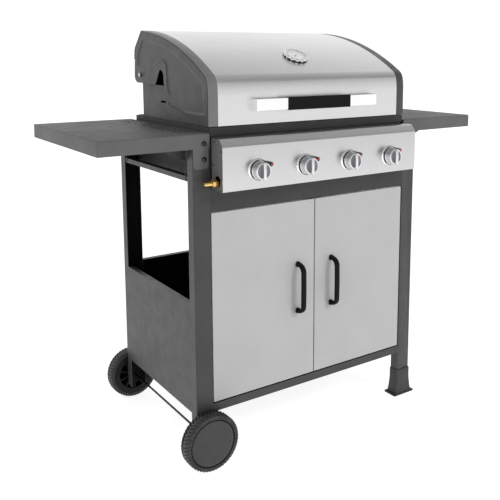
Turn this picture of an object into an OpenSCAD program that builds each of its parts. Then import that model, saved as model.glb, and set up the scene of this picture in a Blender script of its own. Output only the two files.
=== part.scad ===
// Four-burner gas barbecue grill on a cabinet cart with two wheels and two side tables.
// Millimetres, +Z up, +X to the cook's right, the cook stands at -Y.

/* [Cart] */
// Width of the cart over its corner posts
cart_w = 762; // [740:2:800]
// Depth of the cart over its corner posts
cart_d = 458; // [440:2:480]
// Width of a corner post, seen from the front
post_w = 48; // [44:1:52]
// Depth of a corner post, seen from the side
post_d = 29; // [26:1:32]
// Thickness of the folded steel sheet
sheet = 1.5; // [1.2:0.1:2]
// Underside of the cabinet floor's folded edge
floor_low = 140; // [130:1:148]
// Top of the cabinet floor
floor_top = 163; // [160:1:166]
// Top of the side panels
side_top = 438; // [400:2:480]
// Top of the doors
door_top = 676; // [660:1:690]

/* [Tables] */
// Height of the side tables
table_z = 880; // [870:1:890]
// Width over both side tables
overall_w = 1248; // [1200:2:1300]
// Depth of a table's folded edge
apron = 37; // [30:1:42]
// How far the tables reach behind the cart's centre
table_rear = 262; // [250:1:280]

/* [Firebox and lid] */
// Top of the firebox rim
rim_top = 894; // [890:1:898]
// Height of the firebox rim band
rim_band = 21; // [15:1:24]
// Underside of the firebox
firebox_low = 742; // [738:1:746]
// Width over the lid's ends
lid_w = 666; // [660:1:668]
// Height of the lid's upright front
lid_front_h = 110; // [100:1:118]
// Radius of the bend over the lid's front
lid_bend_r = 14; // [10:1:20]
// Slope of the crown where it meets the front bend, in degrees
crown_slope = 33; // [30:1:35]
// Width of the lid ends' folded flange
flange_w = 28; // [20:1:32]
// Length of the lid handle
handle_w = 408; // [380:2:430]

/* [Controls] */
// Distance between burners, and between knobs
burner_pitch = 150; // [146:1:152]
// Height of the knobs
knob_z = 786; // [780:1:790]
// Outer radius of a knob
knob_r = 24; // [20:1:26]
// Length of a knob
knob_l = 30; // [24:1:34]
// Travel of a knob when it is pushed in
push_travel = 3; // [2:0.5:4]
// How far the control panel stands out from the cart
panel_out = 56; // [50:1:60]
// Radius of the gas inlet's hose barb
barb_r = 5.5; // [4.5:0.1:6]

/* [Wheels] */
// Outer radius of a wheel
wheel_r = 77; // [72:1:80]
// Width of a tyre
tyre_w = 38; // [34:1:40]
// Radius of the axle rod
axle_r = 3; // [2.5:0.1:5]

/* [Hidden] */

$fn = 64;
hull_fn = 32;
burner_count = 4;    // each has its own valve, stem and knob node
cut = 1;             // how far a cutting shape runs past the face that it cuts
painted = "#565656"; // dark grey painted steel
dark = "#2b2b2b";
steel = "#c9c9c9";
iron = "#2a2826";

half_w = cart_w / 2;
half_d = cart_d / 2;
inner_x = half_w - post_w;        // inner face of a post
inner_y = half_d - post_d;        // end of a post's flanges
post_top = table_z - sheet;
left_post_low = 50;
right_post_low = 12;
post_x = half_w - post_w / 2;     // middle of a post, and of the wheels
table_in = lid_w / 2;             // inner edge of a table

panel_front = half_d + panel_out;
panel_half = inner_x - 5;
panel_low = 737;
panel_top = 869;
panel_flat = 40;                  // depth of the control panel's level top
panel_bevel = 18;                 // height of the slope in front of it

bezel_t = 2;
knob_gap = push_travel + 1.5;     // knob's back face to the bezel
knob_back = panel_front + bezel_t + knob_gap;
tyre_gap = 5;                     // post to tyre
wheel_in = half_d + tyre_gap;
wheel_out = wheel_in + tyre_w;

// The model is shifted so that the middle of its outline is at Y = 0.
front_reach = knob_back + knob_l;
back_reach = wheel_out;
cart_y = (front_reach - back_reach) / 2;

knob_x = [for (i = [0:burner_count - 1]) (i - (burner_count - 1) / 2) * burner_pitch];

// Doors
door_gap = 3;
door_t = 14;                      // depth of a door's folded edges
door_low = floor_top + door_gap;
door_pin_x = inner_x - 12;
door_pin_y = half_d - door_t / 2;
door_pin_r = 2.5;
running_fit = 0.05;               // radial clearance of a pin in its hole
pull_x = 59;                      // door handle to the doors' meeting line
pull_z = 430;                     // middle of a door handle
pull_h = 150;
pull_out = 34;

// Lid
lid_half = lid_w / 2;
lid_base = rim_top + 2;
lid_front = 226;                  // front of the lid from the cart's centre
lid_back = 221;
lid_bend_z = lid_base + lid_front_h;
lid_end_t = 3;
skin_t = 1.5;
crown_flat = 3;                   // slope at the back end of the crown
crown_back = 163;
rear_corner_r = 10;
facet_slope = -46;                // slope of the flat behind the crown
facet_l = 57;
rear_bend_r = 30;
rear_fall = -86;                  // slope at the end of the rear bend
flange_end_z = 1060;
hinge_y = 178;
hinge_z = 1015;
hinge_r = 4;
cheek_x = 322;                    // inner face of a hinge cheek
cheek_t = 2.5;
grip_half = 106;
lid_handle_out = 24;
lid_handle_z = 931;
lid_handle_h = 31;
gauge_y = 133;                    // thermometer in front of the cart's centre
gauge_r = 37;

// Firebox
box_half_x = 326;
box_half_y = 224;
rim_out = 3;
ledge = 12;
grate_low = 864;
tamer_low = 812;
burner_r = 13;
burner_wall = 1.5;
manifold_y = 258;
manifold_z = 758;
manifold_r = 10;
manifold_bore = 8;
manifold_half = 306;
valve_front = 270;
valve_back = 242;
stem_r = 3;

// Grease tray
tray_half = 280;
tray_low = 723;
tray_h = 17;
tray_front = 190;
tray_back = 204;

// Box between two opposite corners
module block(low, high) translate(low) cube(high - low);

// Places a part in the cart's own frame
module in_cart() translate([0, cart_y, 0]) children();

// The same shape on the left as on the right
module both_sides() {
    children();
    mirror([1, 0, 0]) children();
}

// Outline in the YZ plane, extruded along X
module along_x(x0, x1) {
    translate([x0, 0, 0])
        rotate([90, 0, 90])
            linear_extrude(x1 - x0) children();
}

// Outline in the XZ plane, extruded along Y
module along_y(y0, y1) {
    translate([0, y1, 0])
        rotate([90, 0, 0])
            linear_extrude(y1 - y0) children();
}

// Round bar along Y, at a given X and Z
module rod_y(x, z, r, y0, y1) {
    translate([x, y0, z]) rotate([-90, 0, 0]) cylinder(h = y1 - y0, r = r);
}

// Round bar along X, at a given Y and Z
module rod_x(y, z, r, x0, x1) {
    translate([x0, y, z]) rotate([0, 90, 0]) cylinder(h = x1 - x0, r = r);
}

function reversed(list) = [for (i = [len(list) - 1:-1:0]) list[i]];

// Points on an arc whose slope runs from one angle to another, in the YZ plane
function slope_arc(centre, r, from, to, steps) = [
    for (i = [0:steps])
        let (a = from + (to - from) * i / steps)
            [centre[0] - r * sin(a), centre[1] + r * cos(a)]
];

// ---- Cart ----

// Corner post of folded sheet, open towards the middle of the cart
module post(low) {
    difference() {
        block([inner_x, inner_y, low], [half_w, half_d, post_top]);
        block(
            [inner_x + sheet, inner_y - cut, low - cut],
            [half_w - sheet, half_d - sheet, post_top + cut]
        );
    }
}

module axle_hole() {
    rod_y(-post_x, wheel_r, axle_r + running_fit, -wheel_out, wheel_out);
}

screw_x = 350;
screw_z = [816, 856];
screw_r = 3;

module screw_holes() {
    for (side = [-1, 1], z = screw_z)
        rod_y(side * screw_x, z, screw_r + running_fit, -half_d - 2 * sheet, -inner_y);
}

module post_front_left() {
    color(painted) in_cart() difference() {
        mirror([1, 0, 0]) mirror([0, 1, 0]) post(left_post_low);
        axle_hole();
        screw_holes();
    }
}

module post_rear_left() {
    color(painted) in_cart() difference() {
        mirror([1, 0, 0]) post(left_post_low);
        axle_hole();
    }
}

module post_front_right() {
    color(painted) in_cart() difference() {
        mirror([0, 1, 0]) post(right_post_low);
        screw_holes();
    }
}

module post_rear_right() {
    color(painted) in_cart() post(right_post_low);
}

foot_w = 82;
foot_d = 48;
foot_h = 82;
foot_wall = 3;
foot_base = 5;
skirt_w = 64;                     // body of the foot just above its base
skirt_d = 40;
foot_flare = 46;

// Moulded foot, flared at the floor, with a socket for the post
module foot() {
    centre_y = half_d - post_d / 2;
    difference() {
        union() {
            translate([post_x, centre_y, 0]) {
                translate([-foot_w / 2, -foot_d / 2, 0]) cube([foot_w, foot_d, foot_base]);
                hull() {
                    translate([-skirt_w / 2, -skirt_d / 2, foot_base - 1])
                        cube([skirt_w, skirt_d, 1]);
                    translate([-post_w / 2 - foot_wall, -post_d / 2 - foot_wall, foot_flare])
                        cube([post_w + 2 * foot_wall, post_d + 2 * foot_wall, 1]);
                }
            }
            block(
                [inner_x - foot_wall, inner_y - foot_wall, foot_base],
                [half_w + foot_wall, half_d + foot_wall, foot_h]
            );
        }
        block(
            [inner_x - 0.2, inner_y - 0.2, right_post_low],
            [half_w + 0.2, half_d + 0.2, foot_h + cut]
        );
    }
}

module feet() {
    color(dark) in_cart() {
        foot();
        mirror([0, 1, 0]) foot();
    }
}

module floor_outline() {
    polygon([
        [-half_w + sheet, -inner_y], [-inner_x, -inner_y], [-inner_x, -half_d],
        [inner_x, -half_d], [inner_x, -inner_y], [half_w - sheet, -inner_y],
        [half_w - sheet, inner_y], [inner_x, inner_y], [inner_x, half_d - 2 * sheet],
        [-inner_x, half_d - 2 * sheet], [-inner_x, inner_y], [-half_w + sheet, inner_y]
    ]);
}

// Floor of the cabinet, with its edges folded down
module cabinet_floor() {
    color(painted) in_cart() difference() {
        translate([0, 0, floor_low]) linear_extrude(floor_top - floor_low) floor_outline();
        block(
            [-inner_x + sheet, -half_d + sheet, floor_low - cut],
            [inner_x - sheet, half_d - 3 * sheet, floor_top - sheet]
        );
        both_sides() block(
            [inner_x - 2 * sheet, -inner_y + sheet, floor_low - cut],
            [half_w - 2 * sheet, inner_y - sheet, floor_top - sheet]
        );
        both_sides() translate([door_pin_x, -door_pin_y, floor_low])
            cylinder(h = floor_top - floor_low + cut, r = door_pin_r);
    }
}

fascia_low = door_top + door_gap;
fascia_top = 752;

// Dark cross panel between the doors and the control panel
module front_fascia() {
    color(dark) in_cart() difference() {
        block([-inner_x, -half_d, fascia_low], [inner_x, -half_d + door_t, fascia_top]);
        block(
            [-inner_x - cut, -half_d + sheet, fascia_low + sheet],
            [inner_x + cut, -half_d + door_t + cut, fascia_top + cut]
        );
        both_sides() translate([door_pin_x, -door_pin_y, fascia_low - cut])
            cylinder(h = sheet + 2 * cut, r = door_pin_r);
    }
}

side_lip = 15;

// Side panel between the posts, with its top edge folded in
module side_panel() {
    block([half_w - sheet, -inner_y, floor_low], [half_w, inner_y, side_top]);
    block(
        [half_w - side_lip, -inner_y, side_top - sheet],
        [half_w - sheet, inner_y, side_top]
    );
}

module side_panel_left() {
    color(painted) in_cart() mirror([1, 0, 0]) side_panel();
}

module side_panel_right() {
    color(painted) in_cart() side_panel();
}

back_top = 448;

// Back panel between the rear posts, with its top edge folded in
module back_panel() {
    color(painted) in_cart() {
        block(
            [-inner_x, half_d - 2 * sheet, floor_low],
            [inner_x, half_d - sheet, back_top]
        );
        block(
            [-inner_x, half_d - 2 * sheet - side_lip, back_top - sheet],
            [inner_x, half_d - 2 * sheet, back_top]
        );
    }
}

rail_low = 758;
rail_h = 13;
rail_t = 20;

// Folded channels that join the tops of the posts at the sides, and a strip at the back
module upper_rails() {
    color(painted) in_cart() {
        both_sides() difference() {
            block(
                [half_w - sheet - rail_t, -inner_y, rail_low],
                [half_w - sheet, inner_y, rail_low + rail_h]
            );
            block(
                [half_w - sheet - rail_t - cut, -inner_y - cut, rail_low + sheet],
                [half_w - 2 * sheet, inner_y + cut, rail_low + rail_h - sheet]
            );
        }
        block(
            [-inner_x, half_d - 2 * sheet, rail_low],
            [inner_x, half_d - sheet, rail_low + rail_h]
        );
    }
}

// ---- Doors ----

door_sheet = 1;

// Right-hand door: a shallow folded tray, open at the back
module door() {
    difference() {
        block(
            [door_gap / 2, -half_d, door_low],
            [inner_x - door_gap, -half_d + door_t, door_top]
        );
        block(
            [door_gap / 2 + door_sheet, -half_d + door_sheet, door_low + door_sheet],
            [inner_x - door_gap - door_sheet, -half_d + door_t + cut, door_top - door_sheet]
        );
        translate([door_pin_x, -door_pin_y, door_low - cut])
            cylinder(h = door_top - door_low + 2 * cut, r = door_pin_r + running_fit);
    }
}

module door_left() {
    color(steel) in_cart() mirror([1, 0, 0]) door();
}

module door_right() {
    color(steel) in_cart() door();
}

pull_wide = 15;
pull_thick = 9;
pull_foot = 16;

// Bow handle with two feet
module door_handle() {
    along_x(pull_x - pull_wide / 2, pull_x + pull_wide / 2) {
        translate([-half_d - pull_out, pull_z - pull_h / 2]) difference() {
            square([pull_out, pull_h]);
            translate([pull_thick, pull_foot]) square([pull_out, pull_h - 2 * pull_foot]);
            polygon([[-cut, -cut], [pull_thick, -cut], [-cut, pull_thick]]);
            polygon([
                [-cut, pull_h + cut], [pull_thick, pull_h + cut],
                [-cut, pull_h - pull_thick]
            ]);
        }
    }
}

module door_handle_left() {
    color(dark) in_cart() mirror([1, 0, 0]) door_handle();
}

module door_handle_right() {
    color(dark) in_cart() door_handle();
}

pin_in_floor = 12;
pin_in_door = 8;

// Pivot pins at the top and bottom of both doors
module door_pins() {
    color(steel) in_cart() both_sides() translate([door_pin_x, -door_pin_y, 0]) {
        translate([0, 0, floor_top - pin_in_floor])
            cylinder(h = pin_in_floor + door_gap + pin_in_door, r = door_pin_r);
        translate([0, 0, door_top - pin_in_door])
            cylinder(h = pin_in_door + door_gap + pin_in_door, r = door_pin_r);
    }
}

catch_w = 46;
catch_h = 14;

// Magnet holder behind the top of the doors
module magnet_catch() {
    color(dark) in_cart() {
        block(
            [-catch_w / 2, -half_d + door_t + 1, fascia_low - catch_h],
            [catch_w / 2, -half_d + door_t + catch_h, fascia_low]
        );
        block(
            [-catch_w / 2, -half_d + sheet, fascia_low + sheet],
            [catch_w / 2, -half_d + door_t + catch_h, fascia_low + 2 * sheet]
        );
        block(
            [-catch_w / 2, -half_d + door_t + 1, fascia_low],
            [catch_w / 2, -half_d + door_t + catch_h, fascia_low + 2 * sheet]
        );
    }
}

// ---- Wheels ----

tyre_depth = 13;
hub_r = 20;
web_t = 5;
rim_t = 16;
spoke_root = 4;                   // how far the spokes reach into the hub
spoke_count = 10;
spoke_w = 5;
hub_out = 3;
axle_out = 6;                     // end of the axle inside the wheel's outer face
rim_r = wheel_r - tyre_depth;

module axle() {
    color(dark) in_cart()
        rod_y(-post_x, wheel_r, axle_r, -wheel_out + axle_out, wheel_out - axle_out);
}

// Moulded wheel with its spokes on the inner side, for the rear of the cart
module wheel() {
    difference() {
        union() {
            difference() {
                rod_y(0, 0, rim_r, wheel_in, wheel_out - hub_out);
                rod_y(0, 0, rim_r - rim_t, wheel_in - cut, wheel_out - hub_out - web_t);
            }
            rod_y(0, 0, hub_r, wheel_in - hub_out, wheel_out - hub_out);
            for (i = [0:spoke_count - 1])
                rotate([0, i * 360 / spoke_count, 0]) block(
                    [-spoke_w / 2, wheel_in + hub_out, hub_r - spoke_root],
                    [spoke_w / 2, wheel_out - hub_out, rim_r - 1]
                );
        }
        rod_y(0, 0, axle_r + running_fit, wheel_in - 2 * hub_out, wheel_out);
    }
}

module wheel_rear() {
    color(dark) in_cart() translate([-post_x, 0, wheel_r]) wheel();
}

module wheel_front() {
    color(dark) in_cart() translate([-post_x, 0, wheel_r]) mirror([0, 1, 0]) wheel();
}

// Solid tyre on the wheel's rim, with rounded shoulders
module tyre() {
    shoulder = 6;
    translate([0, wheel_in, 0]) rotate([-90, 0, 0]) rotate_extrude() polygon([
        [rim_r, 0], [wheel_r - shoulder, 0], [wheel_r, shoulder],
        [wheel_r, tyre_w - shoulder], [wheel_r - shoulder, tyre_w], [rim_r, tyre_w]
    ]);
}

module tyre_rear() {
    color(dark) in_cart() translate([-post_x, 0, wheel_r]) tyre();
}

module tyre_front() {
    color(dark) in_cart() translate([-post_x, 0, wheel_r]) mirror([0, 1, 0]) tyre();
}

// Cap that covers the outer side of a wheel
module hubcap() {
    rod_y(0, 0, rim_r - 1, wheel_out - hub_out, wheel_out - 0.5);
}

module hubcap_rear() {
    color(painted) in_cart() translate([-post_x, 0, wheel_r]) hubcap();
}

module hubcap_front() {
    color(painted) in_cart() translate([-post_x, 0, wheel_r]) mirror([0, 1, 0]) hubcap();
}

// ---- Side tables ----

tab_low = 792;
tab_out = half_w - 1;
tab_in = inner_x + 4;
tab_r = 8;
slot_l = 84;
slot_w = 5;
slot_rows = 3;
slot_groups = 4;
slot_row_pitch = 18;
slot_group_pitch = 108;
slot_first_x = 350;

module table_slots() {
    middle = (table_rear - half_d) / 2;
    for (row = [0:slot_rows - 1], group = [0:slot_groups - 1])
        translate([
            slot_first_x + row * slot_row_pitch - slot_w / 2,
            middle + (group - (slot_groups - 1) / 2) * slot_group_pitch - slot_l / 2,
            table_z - sheet - cut
        ]) cube([slot_w, slot_l, sheet + 2 * cut]);
}

// Right-hand table: a folded tray, with a tab that is screwed to the front post
module side_table() {
    difference() {
        union() {
            block(
                [table_in, -half_d - sheet, table_z - apron],
                [overall_w / 2, table_rear, table_z]
            );
            along_y(-half_d - sheet, -half_d) {
                translate([tab_in, tab_low + tab_r])
                    square([tab_out - tab_in, table_z - tab_low - 2 * tab_r]);
                translate([tab_in + tab_r, tab_low])
                    square([tab_out - tab_in - 2 * tab_r, 2 * tab_r]);
                for (x = [tab_in + tab_r, tab_out - tab_r])
                    translate([x, tab_low + tab_r]) circle(r = tab_r);
            }
        }
        block(
            [table_in - cut, -half_d, table_z - apron - cut],
            [overall_w / 2 - sheet, table_rear - sheet, table_z - sheet]
        );
        table_slots();
        screw_holes();
    }
}

module table_left() {
    color(painted) in_cart() mirror([1, 0, 0]) side_table();
}

module table_right() {
    color(painted) in_cart() side_table();
}

bracket_l = 120;
bracket_h = 70;
bracket_t = 2;
bracket_y = inner_y - 12;

// Gussets that carry the tables from the upper rails and posts
module table_brackets() {
    color(painted) in_cart() both_sides() for (end = [-1, 1])
        along_y(end * bracket_y - bracket_t / 2, end * bracket_y + bracket_t / 2) polygon([
            [half_w - sheet, table_z - sheet], [half_w + bracket_l, table_z - sheet],
            [half_w + bracket_l, table_z - sheet - side_lip],
            [half_w, table_z - bracket_h], [half_w, rail_low + 2],
            [half_w - sheet, rail_low + 2]
        ]);
}

// ---- Firebox ----

drain_half_x = 240;
drain_half_y = 150;

module firebox() {
    color(dark) in_cart() difference() {
        union() {
            difference() {
                block(
                    [-box_half_x, -box_half_y, firebox_low],
                    [box_half_x, box_half_y, rim_top]
                );
                block(
                    [-box_half_x + sheet, -box_half_y + sheet, firebox_low + sheet],
                    [box_half_x - sheet, box_half_y - sheet, rim_top + cut]
                );
            }
            difference() {
                block(
                    [-box_half_x - rim_out, -box_half_y - rim_out, rim_top - rim_band],
                    [box_half_x + rim_out, box_half_y + rim_out, rim_top]
                );
                block(
                    [-box_half_x + ledge, -box_half_y + ledge, rim_top - sheet - cut],
                    [box_half_x - ledge, box_half_y - ledge, rim_top + cut]
                );
                block(
                    [-box_half_x + cut, -box_half_y + cut, rim_top - rim_band - cut],
                    [box_half_x - cut, box_half_y - cut, rim_top - sheet]
                );
            }
            for (low = [grate_low, tamer_low], end = [-1, 1])
                block(
                    [-box_half_x + 1, end * (box_half_y - ledge / 2 - 1) - ledge / 2, low - sheet],
                    [box_half_x - 1, end * (box_half_y - ledge / 2 - 1) + ledge / 2, low]
                );
        }
        block(
            [-drain_half_x, -drain_half_y, firebox_low - cut],
            [drain_half_x, drain_half_y, firebox_low + sheet + cut]
        );
        for (x = knob_x) rod_y(x, knob_z, burner_r + 1, -box_half_y - cut, -box_half_y + 2 * sheet);
    }
}

bar_w = 6;
bar_h = 12;
grate_half_x = 154;
grate_half_y = 218;
grate_gap = 2;
grate_bars = 16;

// Two cast-iron grates side by side
module cooking_grates() {
    bar_pitch = (2 * grate_half_x - bar_w) / (grate_bars - 1);
    color(iron) in_cart() both_sides()
        translate([grate_half_x + grate_gap, 0, grate_low]) {
            for (i = [0:grate_bars - 1])
                translate([-grate_half_x + i * bar_pitch, -grate_half_y, 0])
                    cube([bar_w, 2 * grate_half_y, bar_h]);
            for (y = [-grate_half_y, -bar_w / 2, grate_half_y - bar_w])
                translate([-grate_half_x, y, 0]) cube([2 * grate_half_x, bar_w, bar_h - 2]);
        }
}

rack_wire_r = 2.5;
rack_half = 316;
rack_y = [30, 150];
rack_z = 972;
rack_wires = 7;
rack_rail_r = 3;
rack_rail_over = 6;

// Wire shelf above the back of the grates, hooked into the hinge cheeks
module warming_rack() {
    color(steel) in_cart() {
        for (i = [0:rack_wires - 1])
            rod_x(
                rack_y[0] + i * (rack_y[1] - rack_y[0]) / (rack_wires - 1), rack_z,
                rack_wire_r, -cheek_x, cheek_x
            );
        for (x = [-rack_half, 0, rack_half])
            rod_y(
                x, rack_z - rack_wire_r, rack_rail_r,
                rack_y[0] - rack_rail_over, rack_y[1] + rack_rail_over
            );
    }
}

tamer_half = 46;
tamer_h = 26;
tamer_y = 220;

// Folded steel roofs over the burners
module flame_tamers() {
    color(steel) in_cart() for (x = knob_x)
        along_y(-tamer_y, tamer_y) translate([x, tamer_low]) polygon([
            [-tamer_half, 0], [0, tamer_h], [tamer_half, 0],
            [tamer_half - 2 * sheet, 0], [0, tamer_h - sheet - 0.5], [-tamer_half + 2 * sheet, 0]
        ]);
}

burner_front = 232;
burner_back = 196;
port_r = 1.5;
port_count = 12;

// Steel tube burners, open at the front, with a locating pin at the back
module burners() {
    color(steel) in_cart() for (x = knob_x) difference() {
        union() {
            rod_y(x, knob_z, burner_r, -burner_front, burner_back);
            rod_y(x, knob_z, stem_r, burner_back, box_half_y - sheet);
        }
        rod_y(x, knob_z, burner_r - burner_wall, -burner_front - cut, burner_back - sheet);
        for (i = [0:port_count - 1], side = [-1, 1])
            translate([x, -box_half_y + 40 + i * 30, knob_z])
                rotate([0, side * 60, 0]) cylinder(h = burner_r + cut, r = port_r, $fn = 16);
    }
}

neck_r = 5;
neck_low = manifold_z + manifold_bore - 1;

// Gas pipe behind the control panel
module manifold() {
    color(steel) in_cart() difference() {
        rod_x(-manifold_y, manifold_z, manifold_r, -manifold_half, manifold_half);
        rod_x(-manifold_y, manifold_z, manifold_bore, -manifold_half - cut, manifold_half - sheet);
        for (x = knob_x)
            translate([x, -manifold_y, manifold_z]) cylinder(h = manifold_r + cut, r = neck_r);
    }
}

hex_r = 11;
hex_in = 329;                     // inner end of the hexagon
hex_l = 15;
inlet_body_r = 8.5;
barb_l = 21;
barb_end = hex_in + hex_l + barb_l;
groove = 0.8;
groove_t = 1.5;
groove_pitch = 5.5;
spigot_l = 12;

// Brass gas inlet with a hose barb
module gas_inlet() {
    color("#c79a3e") in_cart() difference() {
        union() {
            rod_x(
                -manifold_y, manifold_z, manifold_bore,
                -manifold_half, -manifold_half + spigot_l
            );
            rod_x(-manifold_y, manifold_z, inlet_body_r, -hex_in, -manifold_half);
            translate([-hex_in - hex_l, -manifold_y, manifold_z])
                rotate([0, 90, 0]) cylinder(h = hex_l, r = hex_r, $fn = 6);
            rod_x(-manifold_y, manifold_z, barb_r, -barb_end, -barb_end + barb_l);
        }
        rod_x(-manifold_y, manifold_z, barb_r / 2, -barb_end - cut, -manifold_half + spigot_l + cut);
        for (i = [1:3])
            translate([-barb_end + i * groove_pitch, -manifold_y, manifold_z])
                rotate([0, 90, 0]) difference() {
                    cylinder(h = groove_t, r = barb_r + 1);
                    translate([0, 0, -cut])
                        cylinder(h = groove_t + 2 * cut, r = barb_r - groove);
                }
    }
}

valve_half = 12;
nozzle_r = 4;
nozzle_back = 228;

// Gas valves that stand on the manifold
module valves() {
    color("#b9a05a") in_cart() for (x = knob_x) difference() {
        union() {
            block(
                [x - valve_half, -valve_front, manifold_z + manifold_r],
                [x + valve_half, -valve_back, knob_z + valve_half]
            );
            translate([x, -manifold_y, neck_low])
                cylinder(h = knob_z - neck_low, r = neck_r);
            rod_y(x, knob_z, nozzle_r, -valve_back, -nozzle_back);
        }
        rod_y(x, knob_z, stem_r + running_fit, -valve_front - cut, -valve_back - 4);
    }
}

stem_back = valve_front - 22;
stem_front = knob_back + knob_l - 8;

// Valve spindle that carries a knob
module stem(i) {
    color(steel) in_cart() rod_y(knob_x[i], knob_z, stem_r, -stem_front, -stem_back);
}

module stem_1() stem(0);
module stem_2() stem(1);
module stem_3() stem(2);
module stem_4() stem(3);

grip_w = 12;
cup_l = 18;
knob_floor = 4;

// Round knob with a raised grip bar across its face
module knob(i) {
    color(steel) in_cart() translate([knob_x[i], 0, knob_z]) difference() {
        union() {
            rod_y(0, 0, knob_r, -knob_back - cup_l, -knob_back);
            intersection() {
                rod_y(0, 0, knob_r - 1, -knob_back - knob_l, -knob_back);
                block([-grip_w / 2, -knob_back - knob_l, -knob_r], [grip_w / 2, -knob_back, knob_r]);
            }
        }
        rod_y(
            0, 0, stem_r + running_fit,
            -knob_back - knob_l + knob_floor, -knob_back + cut
        );
    }
}

module knob_1() knob(0);
module knob_2() knob(1);
module knob_3() knob(2);
module knob_4() knob(3);

bezel_r = 28;
bezel_hole = 7;
pointer = [38, 12];
pointer_r = 5;

// Dark plates behind the knobs, each with a pointer tongue
module knob_bezels() {
    color(dark) in_cart() for (x = knob_x)
        along_y(-panel_front - bezel_t, -panel_front) translate([x, knob_z]) difference() {
            hull() {
                circle(r = bezel_r);
                translate(pointer) circle(r = pointer_r);
            }
            circle(r = bezel_hole);
        }
}

// Outline of the control panel in the YZ plane, a given distance inside its outer face
function panel_outline(inset) = [
    [-half_d, panel_top - inset],
    [-half_d - panel_flat + inset / 3, panel_top - inset],
    [-panel_front + inset, panel_top - panel_bevel - inset / 3],
    [-panel_front + inset, panel_low + inset],
    [-half_d - sheet, panel_low + inset]
];

// Folded front that carries the knobs
module control_panel() {
    color(steel) in_cart() difference() {
        along_x(-panel_half, panel_half)
            polygon(concat(panel_outline(0), reversed(panel_outline(sheet))));
        for (x = knob_x)
            rod_y(x, knob_z, bezel_hole, -panel_front - cut, -panel_front + 2 * sheet);
    }
}

end_hole_r = 14;
end_hole_z = manifold_z + 4;

// Painted plates that close the ends of the control panel
module panel_ends() {
    color(painted) in_cart() both_sides() difference() {
        along_x(panel_half - 2 * sheet, panel_half - sheet / 2) polygon(concat(
            panel_outline(sheet), [[-half_d, panel_low + sheet]]
        ));
        rod_x(-manifold_y, end_hole_z, end_hole_r, 0, panel_half + cut);
    }
}

// ---- Grease tray ----

runner_t = 2;
runner_lip = 14;

// Angles under the firebox that the tray slides on
module tray_runners() {
    color(painted) in_cart() both_sides() {
        block(
            [tray_half + 1, -tray_front, tray_low - runner_t],
            [tray_half + 1 + runner_t, tray_front, firebox_low]
        );
        block(
            [tray_half + 1 - runner_lip, -tray_front, tray_low - runner_t],
            [tray_half + 1, tray_front, tray_low]
        );
    }
}

tray_grip = 12;

// Shallow pan that pulls out at the back
module grease_tray() {
    color(steel) in_cart() {
        difference() {
            block([-tray_half, -tray_front + 2, tray_low], [tray_half, tray_back, tray_low + tray_h]);
            block(
                [-tray_half + sheet, -tray_front + 2 + sheet, tray_low + sheet],
                [tray_half - sheet, tray_back - sheet, tray_low + tray_h + cut]
            );
        }
        block(
            [-tray_half / 3, tray_back, tray_low + tray_h - sheet],
            [tray_half / 3, tray_back + tray_grip, tray_low + tray_h]
        );
    }
}

// ---- Lid ----

crown_run = lid_front - lid_bend_r + lid_bend_r * sin(crown_slope) + crown_back;
crown_r = crown_run / (sin(crown_slope) - sin(crown_flat));
bend_centre = [-lid_front + lid_bend_r, lid_bend_z];
crown_centre = [
    bend_centre[0] + (crown_r - lid_bend_r) * sin(crown_slope),
    bend_centre[1] - (crown_r - lid_bend_r) * cos(crown_slope)
];
corner_centre = [
    crown_centre[0] - (crown_r - rear_corner_r) * sin(crown_flat),
    crown_centre[1] + (crown_r - rear_corner_r) * cos(crown_flat)
];
rear_centre = [
    corner_centre[0] + (rear_bend_r - rear_corner_r) * sin(facet_slope) + facet_l * cos(facet_slope),
    corner_centre[1] - (rear_bend_r - rear_corner_r) * cos(facet_slope) + facet_l * sin(facet_slope)
];
bend_steps = 6;
crown_steps = 14;
rear_steps = 8;

// The lid's outline from its front edge over the crown to its back, a given distance inside
function lid_outline(inset) = concat(
    [[-lid_front + inset, lid_base]],
    slope_arc(bend_centre, lid_bend_r - inset, 90, crown_slope, bend_steps),
    slope_arc(crown_centre, crown_r - inset, crown_slope, crown_flat, crown_steps),
    slope_arc(corner_centre, rear_corner_r - inset, crown_flat, facet_slope, rear_steps),
    slope_arc(rear_centre, rear_bend_r - inset, facet_slope, rear_fall, rear_steps),
    [[lid_back - inset, flange_end_z]]
);

module lid_shell(thickness) {
    polygon(concat(lid_outline(0), reversed(lid_outline(thickness))));
}

// Curved sheet over the middle of the lid
module lid_skin() {
    color(steel) in_cart() difference() {
        along_x(-lid_half + flange_w, lid_half - flange_w) lid_shell(skin_t);
        gauge_place() translate([0, 0, -gauge_depth])
            cylinder(h = 2 * gauge_depth, r = gauge_stem_r + 1);
    }
}

lid_tab_r = 22;
tab_floor = 992;
notch = [[80, 990], [52, 1029], [42, 1032], [31, 1027], [27, 1018], [24, 993]];
end_edge = [[4, 974], [-98, 924], [-204, 920], [-204, 896]];

// Pressed end of the lid: a plate with a flange that the skin meets
module lid_end() {
    difference() {
        along_x(lid_half - lid_end_t, lid_half) union() {
            polygon(concat(
                lid_outline(0),
                [[lid_back, tab_floor + lid_tab_r], [lid_back - lid_tab_r, tab_floor]],
                notch, end_edge
            ));
            translate([lid_back - lid_tab_r, tab_floor + lid_tab_r]) circle(r = lid_tab_r);
        }
        rod_x(hinge_y, hinge_z, hinge_r + running_fit, 0, lid_half + cut);
    }
    along_x(lid_half - flange_w, lid_half - lid_end_t + 0.01) lid_shell(lid_end_t);
}

module lid_end_left() {
    color(painted) in_cart() mirror([1, 0, 0]) lid_end();
}

module lid_end_right() {
    color(painted) in_cart() lid_end();
}

cheek_front = 206;
cheek_back = 183;
cheek_boss_r = 15;
slot_y = [33, 60];                // ends of the adjusting slot in a cheek
slot_z = 943;
slot_h = 5.5;
stud_hole = [9, 940.5];           // small hole in front of the slot

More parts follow.
